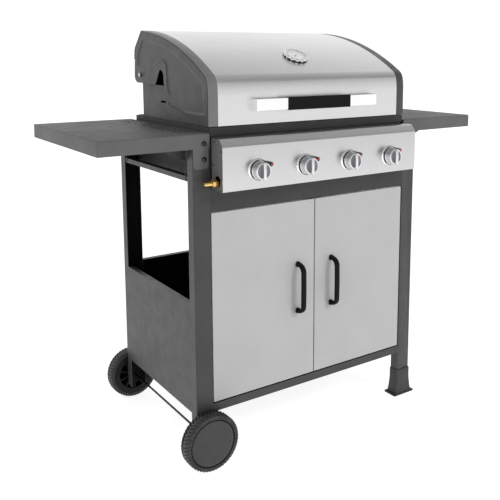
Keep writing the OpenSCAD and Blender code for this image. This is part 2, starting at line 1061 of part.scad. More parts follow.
// Fixed plates on the firebox rim that carry the lid's hinge pins
module hinge_cheeks() {
    color(painted) in_cart() both_sides() difference() {
        along_x(cheek_x, cheek_x + cheek_t) union() {
            polygon([
                [-cheek_front, rim_top], [-cheek_front, 936], [-90, 944], [20, 988],
                [150, 990], [hinge_y - cheek_boss_r, hinge_z], [cheek_back, hinge_z],
                [cheek_back, rim_top]
            ]);
            translate([hinge_y, hinge_z]) circle(r = cheek_boss_r);
        }
        rod_x(hinge_y, hinge_z, hinge_r, 0, cheek_x + cheek_t + cut);
        block(
            [0, slot_y[0], slot_z - slot_h / 2],
            [cheek_x + cheek_t + cut, slot_y[1], slot_z + slot_h / 2]
        );
        for (p = [[slot_y[0], slot_z], [slot_y[1], slot_z], stud_hole])
            rod_x(p[0], p[1], slot_h / 2, 0, cheek_x + cheek_t + cut);
    }
}

shield_top = 1040;
shield_pin_room = 6;              // shield's upper corners to the hinge bolts' ends

// Folded sheet between the cheeks that closes the gap behind the lid
module rear_shield() {
    upper_half = cheek_x - pin_inside - shield_pin_room;
    shoulder = hinge_z - cheek_boss_r - shield_pin_room;
    color(dark) in_cart() {
        along_y(cheek_back - sheet, cheek_back) polygon([
            [-cheek_x, rim_top], [cheek_x, rim_top], [cheek_x, shoulder],
            [upper_half, shoulder], [upper_half, shield_top], [-upper_half, shield_top],
            [-upper_half, shoulder], [-cheek_x, shoulder]
        ]);
        block([-cheek_x, cheek_back, rim_top], [cheek_x, box_half_y, rim_top + sheet]);
    }
}

pin_inside = 4;                   // how far the hinge bolts reach inside the cheeks
pin_head_r = 6;
pin_head_t = 4;
pin_collar_r = 7;

// Hinge bolts, fixed in the cheeks
module lid_pins() {
    color(steel) in_cart() both_sides() {
        rod_x(hinge_y, hinge_z, hinge_r, cheek_x - pin_inside, lid_half + 0.5);
        rod_x(hinge_y, hinge_z, pin_head_r, lid_half + 0.5, lid_half + 0.5 + pin_head_t);
        difference() {
            rod_x(hinge_y, hinge_z, pin_collar_r, cheek_x + cheek_t, lid_half - lid_end_t - 0.5);
            rod_x(hinge_y, hinge_z, hinge_r - 0.5, 0, lid_half);
        }
    }
}

handle_t = 2;
handle_top = lid_handle_z + lid_handle_h;
handle_lip = 10;
grip_t = 1.5;

// Folded bar across the lid's front, with closed ends
module lid_handle() {
    front = -lid_front - lid_handle_out;
    half = handle_w / 2;
    color(steel) in_cart() {
        difference() {
            block([-half, front, lid_handle_z], [half, front + handle_lip, handle_top]);
            block(
                [-half + handle_t, front + handle_t, lid_handle_z + handle_t],
                [half - handle_t, front + handle_lip + cut, handle_top - handle_t]
            );
        }
        for (x = [-half, half - handle_t])
            block([x, front + handle_lip, lid_handle_z], [x + handle_t, -lid_front, handle_top]);
    }
}

// Dark grip round the middle of the handle
module lid_handle_grip() {
    front = -lid_front - lid_handle_out;
    color(dark) in_cart() difference() {
        block(
            [-grip_half, front - grip_t, lid_handle_z - grip_t],
            [grip_half, front + handle_lip, handle_top + grip_t]
        );
        block(
            [-grip_half - cut, front, lid_handle_z],
            [grip_half + cut, front + handle_lip + cut, handle_top]
        );
    }
}

gauge_bezel_t = 9;
gauge_depth = 40;
gauge_stem_r = 5;
gauge_slope = asin((crown_centre[0] + gauge_y) / crown_r);
gauge_flutes = 24;
dial_r = 30;
dial_t = 2;

// Places a part on the lid's crown, with Z along the outward normal
module gauge_place() {
    translate([0, -gauge_y, crown_centre[1] + crown_r * cos(gauge_slope)])
        rotate([gauge_slope, 0, 0]) children();
}

// Thermometer case with a fluted bezel and its probe
module thermometer_body() {
    color(steel) in_cart() gauge_place() difference() {
        union() {
            cylinder(h = gauge_bezel_t, r = gauge_r);
            translate([0, 0, -gauge_depth]) cylinder(h = gauge_depth, r = gauge_stem_r);
        }
        for (i = [0:gauge_flutes - 1])
            rotate([0, 0, i * 360 / gauge_flutes]) translate([gauge_r + 2, 0, -cut])
                cylinder(h = gauge_bezel_t + 2 * cut, r = 3, $fn = 24);
        translate([0, 0, gauge_bezel_t - 4]) cylinder(h = 5, r = dial_r);
    }
}

module thermometer_dial() {
    color("white") in_cart() gauge_place() translate([0, 0, gauge_bezel_t - 4])
        cylinder(h = dial_t, r = dial_r);
}

// ---- Fasteners ----

head_r = 7;
head_t = 5;
small_r = 2.5;
small_t = 1.5;
end_screws = [
    [-half_d - 15, 861], [-half_d - 10, 801], [-panel_front + 9, 838], [-panel_front + 11, 768]
];

// Round-head screws in the table tabs and the control panel's ends
module screws() {
    color(dark) in_cart() {
        for (side = [-1, 1], z = screw_z) {
            rod_y(side * screw_x, z, head_r, -half_d - sheet - head_t, -half_d - sheet);
            rod_y(side * screw_x, z, screw_r, -half_d - sheet - 0.5, -inner_y - 8);
        }
        both_sides() for (p = end_screws)
            rod_x(p[0], p[1], small_r, panel_half - sheet / 2, panel_half - sheet / 2 + small_t);
    }
}

post_front_left();
post_rear_left();
post_front_right();
post_rear_right();
feet();
cabinet_floor();
front_fascia();
side_panel_left();
side_panel_right();
back_panel();
upper_rails();
door_left();
door_right();
door_handle_left();
door_handle_right();
door_pins();
magnet_catch();
axle();
wheel_front();
wheel_rear();
tyre_front();
tyre_rear();
hubcap_front();
hubcap_rear();
table_left();
table_right();
table_brackets();
firebox();
rear_shield();
hinge_cheeks();
lid_pins();
lid_skin();
lid_end_left();
lid_end_right();
lid_handle();
lid_handle_grip();
thermometer_body();
thermometer_dial();
cooking_grates();
warming_rack();
flame_tamers();
burners();
manifold();
gas_inlet();
valves();
stem_1();
stem_2();
stem_3();
stem_4();
knob_1();
knob_2();
knob_3();
knob_4();
knob_bezels();
control_panel();
panel_ends();
tray_runners();
grease_tray();
screws();
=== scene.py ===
# Looks of the gas barbecue: camera, studio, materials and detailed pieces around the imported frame.
import math
import bmesh
import bpy
from mathutils import Matrix, Vector


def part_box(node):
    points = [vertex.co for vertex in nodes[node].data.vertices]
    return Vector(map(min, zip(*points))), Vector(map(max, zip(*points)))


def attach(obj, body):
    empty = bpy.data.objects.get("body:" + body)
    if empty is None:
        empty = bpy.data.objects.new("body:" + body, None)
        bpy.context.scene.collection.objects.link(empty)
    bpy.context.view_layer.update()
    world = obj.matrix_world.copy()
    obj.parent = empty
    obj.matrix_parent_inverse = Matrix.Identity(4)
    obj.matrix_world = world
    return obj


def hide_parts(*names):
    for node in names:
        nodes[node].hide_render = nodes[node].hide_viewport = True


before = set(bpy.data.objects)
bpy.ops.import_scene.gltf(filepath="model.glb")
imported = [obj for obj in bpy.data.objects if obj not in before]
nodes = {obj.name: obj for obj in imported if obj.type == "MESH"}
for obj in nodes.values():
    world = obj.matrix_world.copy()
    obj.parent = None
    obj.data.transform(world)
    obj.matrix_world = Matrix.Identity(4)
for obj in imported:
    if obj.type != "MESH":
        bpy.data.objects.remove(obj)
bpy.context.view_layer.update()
MM = 0.001
HALF_DEPTH = 229 * MM      # of the cart over its corner posts
POST_DEPTH = 29 * MM
TABLE_SCREWS = (350, (816, 856))  # X and heights of the table tabs' screws
BOSS = (38 * MM, 12 * MM)  # from a knob's axis to the boss beside it

# ---------------------------------------------------------------- camera

LENS = 51.75               # millimetres, on a sensor 36 mm wide
SHIFT = (-0.060, -0.183)
YAW = math.radians(34.65)  # turned to the right of straight ahead
PITCH = math.radians(8.46)  # downwards
EYE = Vector((-1.200, -1.769, 1.082))


def make_camera():
    """A camera at the front left, level in roll, with the shift that the framing needs."""
    forward = Vector((
        math.sin(YAW) * math.cos(PITCH), math.cos(YAW) * math.cos(PITCH), -math.sin(PITCH)
    ))
    data = bpy.data.cameras.new("camera")
    data.sensor_width = 36.0
    data.lens = LENS
    data.shift_x, data.shift_y = SHIFT
    data.clip_start = 0.05
    data.clip_end = 60
    camera = bpy.data.objects.new("camera", data)
    camera.location = EYE
    camera.rotation_mode = "QUATERNION"
    camera.rotation_quaternion = (-forward).to_track_quat("Z", "Y")
    bpy.context.scene.collection.objects.link(camera)
    bpy.context.scene.camera = camera


make_camera()

# ---------------------------------------------------------------- materials


class Material:
    """A node material: a Principled shader and the textures that drive it, in object space."""

    def __init__(self, name, **values):
        self.data = bpy.data.materials.new(name)
        self.data.use_nodes = True
        self.tree = self.data.node_tree
        self.shader = self.tree.nodes["Principled BSDF"]
        self.coordinates = self.tree.nodes.new("ShaderNodeTexCoord")
        for socket, value in values.items():
            self.shader.inputs[socket.replace("_", " ")].default_value = value

    def link(self, a, b):
        self.tree.links.new(a, b)

    def place(self, stretch):
        node = self.tree.nodes.new("ShaderNodeMapping")
        node.inputs["Scale"].default_value = stretch
        self.link(self.coordinates.outputs["Object"], node.inputs["Vector"])
        return node.outputs["Vector"]

    def noise(self, scale, detail=3.0, stretch=(1, 1, 1), rough=0.55):
        """Noise in object space, drawn out along the axes whose stretch is small."""
        node = self.tree.nodes.new("ShaderNodeTexNoise")
        node.inputs["Scale"].default_value = scale
        node.inputs["Detail"].default_value = detail
        node.inputs["Roughness"].default_value = rough
        self.link(self.place(stretch), node.inputs["Vector"])
        return node.outputs["Fac"]

    def span(self, value, low, high, start=0.3, end=0.7):
        """A value brought from between start and end to between low and high."""
        node = self.tree.nodes.new("ShaderNodeMapRange")
        for key, number in (("From Min", start), ("From Max", end), ("To Min", low), ("To Max", high)):
            node.inputs[key].default_value = number
        self.link(value, node.inputs["Value"])
        return node.outputs["Result"]

    def maths(self, operation, a, b):
        node = self.tree.nodes.new("ShaderNodeMath")
        node.operation = operation
        for index, value in enumerate((a, b)):
            if isinstance(value, (int, float)):
                node.inputs[index].default_value = value
            else:
                self.link(value, node.inputs[index])
        return node.outputs["Value"]

    def colours(self, value, stops):
        node = self.tree.nodes.new("ShaderNodeValToRGB")
        ramp = node.color_ramp
        while len(ramp.elements) < len(stops):
            ramp.elements.new(0.5)
        for element, (position, colour) in zip(ramp.elements, stops):
            element.position = position
            element.color = (*colour, 1)
        self.link(value, node.inputs["Fac"])
        self.link(node.outputs["Color"], self.shader.inputs["Base Color"])

    def roughness(self, value):
        self.link(value, self.shader.inputs["Roughness"])

    def bump(self, height, depth, strength=1.0):
        node = self.tree.nodes.new("ShaderNodeBump")
        node.inputs["Strength"].default_value = strength
        node.inputs["Distance"].default_value = depth
        self.link(height, node.inputs["Height"])
        self.link(node.outputs["Normal"], self.shader.inputs["Normal"])


def grey(level, tint=(1, 1, 1)):
    """A colour of one level, tinted."""
    return tuple(level * part for part in tint)


def painted(
    name, level, spread=0.12, gloss=0.42, grain=1100, depth=0.00005, tint=(1, 1, 1), shine=0.4
):
    """Powder-coated steel: a fine orange peel, faint mottling and slightly uneven gloss."""
    made = Material(name, Specular_IOR_Level=shine)
    mottle = made.noise(9, 4)
    made.colours(mottle, [
        (0.3, grey(level * (1 - spread), tint)), (0.7, grey(level * (1 + spread), tint))
    ])
    made.roughness(made.span(made.noise(38, 5), gloss - 0.05, gloss + 0.08))
    made.bump(made.noise(grain, 2), depth)
    return made.data


def brushed(
    name, level, along=(1, 0, 0), gloss=0.26, spread=0.05, anisotropy=0.0, stain=0.0, depth=0.00002
):
    """Brushed steel: long fine scratches along one direction, over soft large marks."""
    made = Material(name, Metallic=1.0, Anisotropic=anisotropy)
    stretch = tuple(0.012 if part else 1 for part in along)
    scratches = made.noise(900, 2, stretch)
    marks = made.noise(5, 3, tuple(0.4 if part else 1 for part in along))
    mixed = made.maths(
        "ADD", made.maths("MULTIPLY", scratches, 0.5), made.maths("MULTIPLY", marks, 0.5)
    )
    warm = (1, 1 - stain, 1 - 2.2 * stain)
    made.colours(mixed, [
        (0.35, grey(level * (1 - spread), warm)), (0.65, grey(level * (1 + spread)))
    ])
    made.roughness(made.span(mixed, gloss - 0.06, gloss + 0.08))
    made.bump(scratches, depth)
    if anisotropy:
        tangent = made.tree.nodes.new("ShaderNodeTangent")
        tangent.direction_type = "UV_MAP"
        tangent.uv_map = "UVMap"
        made.link(tangent.outputs["Tangent"], made.shader.inputs["Tangent"])
    return made.data


def moulded(name, level, gloss=0.45, grain=700, depth=0.00006, tint=(1, 1, 1), shine=0.4):
    """Moulded plastic with a fine spark-eroded grain."""
    made = Material(name, Specular_IOR_Level=shine)
    made.colours(made.noise(30, 3), [
        (0.3, grey(level * 0.85, tint)), (0.7, grey(level * 1.2, tint))
    ])
    made.roughness(made.span(made.noise(60, 4), gloss - 0.04, gloss + 0.1))
    made.bump(made.noise(grain, 3), depth)
    return made.data


def rubber(name):
    """Tyre rubber: dark and dusty, with a dull sheen."""
    made = Material(name, Specular_IOR_Level=0.5)
    made.colours(made.noise(45, 5), [(0.3, grey(0.012)), (0.7, grey(0.03, (1.02, 1, 0.97)))])
    made.roughness(made.span(made.noise(120, 4), 0.38, 0.55))
    made.bump(made.noise(800, 3), 0.00012)
    return made.data


def cast_iron(name):
    """Enamelled cast iron: black, with a rough skin."""
    made = Material(name, Specular_IOR_Level=0.5)
    made.colours(made.noise(70, 6), [(0.3, grey(0.012)), (0.7, grey(0.045, (1.05, 1, 0.94)))])
    made.roughness(made.span(made.noise(90, 4), 0.42, 0.7))
    made.bump(made.noise(420, 5), 0.0003)
    return made.data


def plated(name, colour, gloss, spread=0.06):
    """Plated or turned metal with fine tool marks and faint smudges."""
    made = Material(name, Metallic=1.0)
    smudge = made.noise(55, 4)
    made.colours(smudge, [
        (0.3, tuple(part * (1 - spread) for part in colour)),
        (0.7, tuple(min(1, part * (1 + spread)) for part in colour))
    ])
    made.roughness(made.span(smudge, gloss * 0.7, gloss * 1.4))
    made.bump(made.noise(1500, 2), 0.00001)
    return made.data


def clear_lens(name):
    """A thin clear cover, mostly see-through, with faint smears."""
    made = Material(name, Alpha=0.12)
    made.roughness(made.span(made.noise(40, 3), 0.02, 0.06))
    return made.data


def plain_print(name, colour, gloss=0.5):
    """Printed ink, very slightly uneven."""
    made = Material(name)
    made.colours(made.noise(300, 3), [
        (0.3, tuple(part * 0.9 for part in colour)),
        (0.7, tuple(min(1, part * 1.05) for part in colour))
    ])
    made.roughness(made.span(made.noise(200, 2), gloss - 0.05, gloss + 0.05))
    return made.data


M = {
    "frame": painted("frame_paint", 0.038),
    "panel": painted("panel_paint", 0.037),
    # Painted shade: a near-black paint on inner faces and on parts deep inside the cart, standing in
    # for the shade there.
    "inside": painted("inside_painted_shade", 0.006, gloss=0.6, shine=0.08),
    "fascia": painted("fascia_paint", 0.029, gloss=0.5),
    "table": painted("table_paint", 0.108, gloss=0.52, grain=900, depth=0.00008, shine=0.14),
    "door": painted("door_coat", 0.40, spread=0.03, gloss=0.36, depth=0.00002, tint=(1, 1, 1.005)),
    "firebox": painted("firebox_paint", 0.028, gloss=0.5, shine=0.25),
    "lid_end": painted("lid_end_enamel", 0.040, gloss=0.4),
    # Painted light: a lighter copy of the frame paint, for the left lid end's flange only.
    "flange": painted("lid_flange_painted_light", 0.145, gloss=0.32),
    "lid_steel": brushed(
        "lid_steel", 0.7, gloss=0.25, spread=0.015, anisotropy=0.6, depth=0.000008
    ),
    "panel_steel": brushed(
        "panel_steel", 0.59, gloss=0.28, spread=0.03, anisotropy=0.5, depth=0.00001
    ),
    "inner_steel": brushed("inner_steel", 0.5, (0, 1, 0), gloss=0.36, spread=0.15, stain=0.06),
    "rack_steel": plated("rack_chrome", (0.8, 0.8, 0.8), 0.16),
    "handle": plated("handle_polish", (0.93, 0.93, 0.94), 0.14),
    "chrome": plated("knob_chrome", (0.74, 0.74, 0.76), 0.15),
    # Painted shade: a dark metal for the floor of the knobs' hollows.
    "hollow": plated("knob_hollow_painted_shade", (0.2, 0.2, 0.21), 0.3),
    "zinc": plated("zinc_plate", (0.52, 0.52, 0.5), 0.36, 0.12),
    "brass": plated("turned_brass", (0.83, 0.56, 0.2), 0.2, 0.1),
    "plastic": moulded("black_plastic", 0.006, shine=0.08),
    "foot": moulded("foot_plastic", 0.034, gloss=0.5),
    "wheel": moulded("wheel_plastic", 0.01, gloss=0.42, shine=0.15),
    "cap": moulded("hubcap_plastic", 0.022, gloss=0.14, grain=300, depth=0.00002, shine=0.5),
    "bezel": moulded("bezel_plastic", 0.02, gloss=0.3),
    "rubber": rubber("tyre_rubber"),
    "iron": cast_iron("grate_iron"),
    "dial": plain_print("dial_white", (0.86, 0.86, 0.84), 0.4),
    "ink": plain_print("black_ink", (0.02, 0.02, 0.02)),
    "red": plain_print("red_ink", (0.62, 0.03, 0.02), 0.35),
    "lens": clear_lens("dial_lens"),
    "black_screw": plated("black_oxide", (0.06, 0.06, 0.065), 0.3),
}

CAD_LOOK = {
    "post_front_left": "frame", "post_rear_left": "frame", "post_front_right": "frame",
    "post_rear_right": "frame", "upper_rails": "frame", "table_brackets": "frame",
    # tray_runners and rear_shield, deep inside the cart and behind the lid, take the near-black
    # painted shade.
    "tray_runners": "inside", "cabinet_floor": "panel", "front_fascia": "fascia",
    "side_panel_left": "panel", "side_panel_right": "panel", "back_panel": "panel",
    "rear_shield": "inside",
    "panel_ends": "table", "door_left": "door", "door_right": "door", "door_pins": "zinc",
    "magnet_catch": "plastic", "axle": "black_screw", "table_left": "table",
    "table_right": "table", "firebox": "firebox", "hinge_cheeks": "frame",
    "lid_pins": "zinc", "lid_handle": "handle", "lid_handle_grip": "plastic",
    "cooking_grates": "iron", "warming_rack": "rack_steel", "flame_tamers": "inner_steel",
    "burners": "inner_steel", "manifold": "zinc", "valves": "brass", "stem_1": "zinc",
    "stem_2": "zinc", "stem_3": "zinc", "stem_4": "zinc", "grease_tray": "inner_steel",
    "knob_bezels": "bezel", "wheel_front": "wheel", "wheel_rear": "wheel",
    "lid_skin": "lid_steel", "lid_end_left": "lid_end", "lid_end_right": "lid_end",
    "thermometer_body": "handle", "thermometer_dial": "dial", "gas_inlet": "brass",
    "knob_1": "chrome", "knob_2": "chrome", "knob_3": "chrome", "knob_4": "chrome",
    "control_panel": "panel_steel", "feet": "foot", "screws": "black_screw",
    "door_handle_left": "plastic", "door_handle_right": "plastic", "tyre_front": "rubber",
    "tyre_rear": "rubber", "hubcap_front": "cap", "hubcap_rear": "cap",
}

# ---------------------------------------------------------------- mesh helpers

WELD_GAP = 0.01 * MM       # vertices closer than this are one vertex
SIDE_GAP = 0.03 * MM       # a point closer than this to a box's side lies on it


def set_material(obj, material):
    """Gives an object one material in place of its own."""
    obj.data.materials.clear()
    obj.data.materials.append(material)


def soften(obj, width, segments=2, angle=35):
    """Rounds the sharp edges of a carried-over CAD node, with modifiers only."""
    weld = obj.modifiers.new("weld", "WELD")
    weld.merge_threshold = WELD_GAP
    bevel = obj.modifiers.new("bevel", "BEVEL")
    bevel.width = width
    bevel.segments = segments
    bevel.limit_method = "ANGLE"
    bevel.angle_limit = math.radians(angle)
    bevel.harden_normals = True


def finish_mesh(name, mesh, material, body, replaced=(), smooth_angle=35):
    """Turns a bmesh into a shaded piece that rides on a body and stands for CAD nodes."""
    bmesh.ops.recalc_face_normals(mesh, faces=mesh.faces)
    data = bpy.data.meshes.new(name)
    mesh.to_mesh(data)
    mesh.free()
    data.shade_smooth()
    data.set_sharp_from_angle(angle=math.radians(smooth_angle))
    obj = bpy.data.objects.new(name, data)
    bpy.context.scene.collection.objects.link(obj)
    data.materials.append(material)
    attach(obj, body)
    if replaced:
        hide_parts(*replaced)
    return obj


def arc(centre, radius, start, end, steps):
    """Points on an arc in a plane, from one angle in degrees to another."""
    turns = [math.radians(start + (end - start) * i / steps) for i in range(steps + 1)]
    return [(centre[0] + radius * math.cos(t), centre[1] + radius * math.sin(t)) for t in turns]


def lathe(mesh, profile, matrix, segments=64):
    """Turns a closed or open (radius, height) profile round Z, then places it."""
    rings = []
    for radius, height in profile:
        if radius < 1e-6:
            rings.append([mesh.verts.new(matrix @ Vector((0, 0, height)))])
            continue
        ring = []
        for i in range(segments):
            turn = 2 * math.pi * i / segments
            point = Vector((radius * math.cos(turn), radius * math.sin(turn), height))
            ring.append(mesh.verts.new(matrix @ point))
        rings.append(ring)
    for a, b in zip(rings, rings[1:]):
        for i in range(segments):
            j = (i + 1) % segments
            if len(a) == 1 and len(b) > 1:
                mesh.faces.new((a[0], b[i], b[j]))
            elif len(b) == 1 and len(a) > 1:
                mesh.faces.new((a[i], b[0], a[j]))
            elif len(a) > 1:
                mesh.faces.new((a[i], b[i], b[j], a[j]))
    return rings


def loft(mesh, loops, close=True):
    """Joins loops of points that have the same count, and closes both ends."""
    rings = [[mesh.verts.new(point) for point in loop] for loop in loops]
    count = len(rings[0])
    for a, b in zip(rings, rings[1:]):
        for i in range(count):
            j = (i + 1) % count
            mesh.faces.new((a[i], b[i], b[j], a[j]))
    if close:
        mesh.faces.new(rings[0])
        mesh.faces.new(list(reversed(rings[-1])))
    return rings


def rounded_rectangle(half_x, half_y, radius, steps=5):
    """The outline of a rectangle round the origin, with round corners."""
    points = []
    for sx, sy, start in ((1, 1, 0), (-1, 1, 90), (-1, -1, 180), (1, -1, 270)):
        centre = (sx * (half_x - radius), sy * (half_y - radius))
        points += arc(centre, radius, start, start + 90, steps)
    return points


def along(axis_from, axis_to):
    """Matrix that puts Z along a direction, at a point."""
    turn = Vector((0, 0, 1)).rotation_difference(Vector(axis_to)).to_matrix().to_4x4()
    return Matrix.Translation(axis_from) @ turn


def middle(node):
    """The centre of a node's box."""
    low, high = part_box(node)
    return (low + high) / 2


# ---------------------------------------------------------------- rounded copies of sheet parts


def box_sides(points, low, high):
    """The sides of a box that hold all the points: a small letter is the high side on its axis."""
    sides = set()
    for axis in range(3):
        for limit, letter in ((low[axis], "XYZ"[axis]), (high[axis], "xyz"[axis])):
            if all(abs(point[axis] - limit) < SIDE_GAP for point in points):
                sides.add(letter)
    return sides


def rounded_copy(node, body, radius, wanted, painted_sides="XxYyZz", inner_look="inside"):
    """A copy of a CAD node with chosen outer edges rolled, and another look on its inner faces: by
    default the near-black painted shade.
    """
    mesh = bmesh.new()
    mesh.from_mesh(nodes[node].data)
    bmesh.ops.remove_doubles(mesh, verts=mesh.verts, dist=WELD_GAP)
    bmesh.ops.dissolve_limit(
        mesh, angle_limit=math.radians(1), verts=mesh.verts, edges=mesh.edges
    )
    low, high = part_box(node)
    # Faces on none of the painted sides take the inner look, which is the painted shade unless another
    # is given.
    for face in mesh.faces:
        outer = box_sides([vert.co for vert in face.verts], low, high) & set(painted_sides)
        face.material_index = 0 if outer else 1
    chosen = []
    for edge in mesh.edges:
        sides = box_sides([vert.co for vert in edge.verts], low, high)
        if any(set(pair) <= sides for pair in wanted):
            chosen.append(edge)
    if chosen:
        bmesh.ops.bevel(
            mesh, geom=chosen, offset=radius, segments=4, profile=0.5,
            affect="EDGES", clamp_overlap=False
        )
    piece = finish_mesh(node + "_rolled", mesh, M[CAD_LOOK[node]], body, (node,))
    piece.data.materials.append(M[inner_look])
    return piece


# Painted shade: faces on none of a copy's painted sides, such as the tables' undersides and slot walls
# and the posts' channel insides, get the near-black paint.
# Each pair of letters names an edge of the node's box by the two sides that meet there.
for node, pairs in (
    ("table_left", ("zX", "zY", "zy", "XY", "Xy")),
    ("table_right", ("zx", "zY", "zy", "xY", "xy")),
):
    rounded_copy(node, "root", 3 * MM, pairs)
for node, pairs in (
    ("post_front_left", ("XY",)), ("post_front_right", ("xY",)),
    ("post_rear_left", ("Xy",)), ("post_rear_right", ("xy",)),
):
    rounded_copy(node, "root", 2 * MM, pairs)
for node in ("door_left", "door_right"):
    rounded_copy(node, node, 1.6 * MM, ("XY", "xY", "YZ", "Yz"), inner_look="door")
# Painted shade: the panels' inner faces and the cabinet floor's top get the near-black paint.
for node in ("side_panel_left", "side_panel_right", "back_panel"):
    rounded_copy(node, "root", 0, ())
rounded_copy("cabinet_floor", "root", 0, (), "XxYyZ")

# ---------------------------------------------------------------- lid

LID_BEND = 14 * MM         # in the CAD model; the sheet here is rolled a little softer inside it
SOFT_BEND = 32 * MM
LEAN = math.radians(12)    # the top of the lid's front leans back
LEAN_BEND = 170 * MM
CROWN_SLOPE = math.radians(33)
CROWN_FLAT = math.radians(3)
REAR_CORNER = 10 * MM
FACET = math.radians(-46)  # slope of the flat behind the crown
FACET_RUN = 57 * MM
REAR_BEND = 30 * MM
REAR_FALL = math.radians(-86)
FRONT_HEIGHT = 110 * MM
SKIN = 1.5 * MM
REAR_END = 1060 * MM       # height where the lid's sheet ends at the back
TAB_FLOOR = 992 * MM
TAB_RADIUS = 22 * MM

lid_low, lid_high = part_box("lid_skin")
end_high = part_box("lid_end_right")[1]
cart_y = middle("axle").y


def slope_arc(centre, radius, start, end, steps):
    """Points on an arc in (y, z), from one slope in radians to another."""
    turns = [start + (end - start) * i / steps for i in range(steps + 1)]
    return [(centre[0] - radius * math.sin(t), centre[1] + radius * math.cos(t)) for t in turns]


def lid_path(inset):
    """The lid's section from its front edge to its back, with the crown's centre and radius."""
    start = (lid_low.y + LID_BEND, lid_low.z + FRONT_HEIGHT)
    crown_back = lid_high.y - 58 * MM
    run = crown_back - start[0] + LID_BEND * math.sin(CROWN_SLOPE)
    crown = run / (math.sin(CROWN_SLOPE) - math.sin(CROWN_FLAT))
    crown_centre = (
        start[0] + (crown - LID_BEND) * math.sin(CROWN_SLOPE),
        start[1] - (crown - LID_BEND) * math.cos(CROWN_SLOPE),
    )
    corner_centre = (
        crown_centre[0] - (crown - REAR_CORNER) * math.sin(CROWN_FLAT),
        crown_centre[1] + (crown - REAR_CORNER) * math.cos(CROWN_FLAT),
    )
    growth = REAR_BEND - REAR_CORNER
    rear_centre = (
        corner_centre[0] + growth * math.sin(FACET) + FACET_RUN * math.cos(FACET),
        corner_centre[1] - growth * math.cos(FACET) + FACET_RUN * math.sin(FACET),
    )
    bend_y = lid_low.y + LEAN_BEND * (1 - math.cos(LEAN)) + SOFT_BEND * math.cos(LEAN)
    bend_z = crown_centre[1] + math.sqrt((crown - SOFT_BEND) ** 2 - (crown_centre[0] - bend_y) ** 2)
    bend_end = math.atan2(crown_centre[0] - bend_y, bend_z - crown_centre[1])
    lean_centre = (lid_low.y + LEAN_BEND, bend_z + (SOFT_BEND - LEAN_BEND) * math.sin(LEAN))
    upright = math.radians(90)
    return (
        [(lid_low.y + inset, lid_low.z), (lid_low.y + inset, lid_low.z + FRONT_HEIGHT * 0.4)]
        + slope_arc(lean_centre, LEAN_BEND - inset, upright, upright - LEAN, 8)
        + slope_arc((bend_y, bend_z), SOFT_BEND - inset, upright - LEAN, bend_end, 12)[1:]
        + slope_arc(crown_centre, crown - inset, bend_end, CROWN_FLAT, 60)[1:]
        + slope_arc(corner_centre, REAR_CORNER - inset, CROWN_FLAT, FACET, 10)[1:]
        + slope_arc(rear_centre, REAR_BEND - inset, FACET, REAR_FALL, 14)
        + [(lid_high.y - inset, REAR_END)]
    ), crown_centre, crown


def prism_along_x(mesh, profile, x0, x1, steps=1):
    """A closed (y, z) outline extruded along X, with UVs that run along the outline."""
    loops = []
    for i in range(steps + 1):
        x = x0 + (x1 - x0) * i / steps
        loops.append([Vector((x, y, z)) for y, z in profile])
    loft(mesh, loops)
    layer = mesh.loops.layers.uv.new("UVMap")
    lengths = {}
    total = 0.0
    for i, point in enumerate(profile):
        if i:
            total += (Vector(point) - Vector(profile[i - 1])).length
        lengths[(round(point[0], 6), round(point[1], 6))] = total
    for face in mesh.faces:
        for corner in face.loops:
            co = corner.vert.co
            key = (round(co.y, 6), round(co.z, 6))
            corner[layer].uv = (lengths.get(key, co.z), co.x)


def make_lid_skin():
    """The bent sheet between the lid ends."""
    outer = lid_path(0)[0]
    inner = lid_path(SKIN)[0]
    mesh = bmesh.new()
    prism_along_x(mesh, outer + inner[::-1], lid_low.x, lid_high.x, 6)
    finish_mesh("lid_skin_sheet", mesh, M["lid_steel"], "lid", ("lid_skin",), 40)


make_lid_skin()

# The field pressed into each lid end stops short of these edges, as (y, z) in the cart's frame.
FIELD_LOW = [
    (192, 1038), (91, 1038), (76, 1046), (62, 1053), (42, 1058), (22, 1054), (11, 1042),
    (8, 1010), (6, 983), (-10, 962), (-74, 928), (-97, 922), (-202, 922),
]


def in_frame(points):
    """Section points in millimetres from the cart's middle, as Y and Z in the frame."""
    return [(cart_y + y * MM, z * MM) for y, z in points]


def lid_end_outline(inset):
    """A lid end's outline in three parts: under the flange, the rounded tab, the lower edge."""
    tab = arc((lid_high.y - TAB_RADIUS, TAB_FLOOR + TAB_RADIUS), TAB_RADIUS, 0, -90, 8)
    notch = [
        (80, 990), (54, 1026.5), (51, 1030), (46.5, 1032), (42, 1032), (35, 1029.5),
        (30, 1025), (27, 1018), (24, 993),
    ]
    edge = [(4, 974), (-98, 924), (-204, 920), (-204, 896)]
    return lid_path(inset)[0], tab, in_frame(notch + edge)


def distance_to(path, y, z):
    """How far a point lies from the nearest stretch of a path."""
    best = 1.0
    for (ay, az), (by, bz) in zip(path, path[1:]):
        dy, dz = by - ay, bz - az
        size = dy * dy + dz * dz
        t = 0 if size == 0 else max(0, min(1, ((y - ay) * dy + (z - az) * dz) / size))
        best = min(best, math.hypot(y - ay - t * dy, z - az - t * dz))
    return best


def polygon_test(points):
    """A function that says whether a (y, z) point lies inside a closed outline."""
    def inside(y, z):
        hit = False
        for (ay, az), (by, bz) in zip(points, points[1:] + points[:1]):
            if (az > z) != (bz > z) and y < (by - ay) * (z - az) / (bz - az) + ay:
                hit = not hit
        return hit
    return inside


def smooth_step(value, low, high):
    """Rises smoothly from 0 at one value to 1 at another."""
    t = max(0.0, min(1.0, (value - low) / (high - low)))
    return t * t * (3 - 2 * t)


BORDER = 24 * MM           # from the lid's outline to the recessed field
RECESS = 2.2 * MM
PLATE_T = 3 * MM
RIDGE = 1.0 * MM           # height of the ridge round the field's lower side
FLANGE_EDGE = 4 * MM       # from the lid's outline to the pressed plate


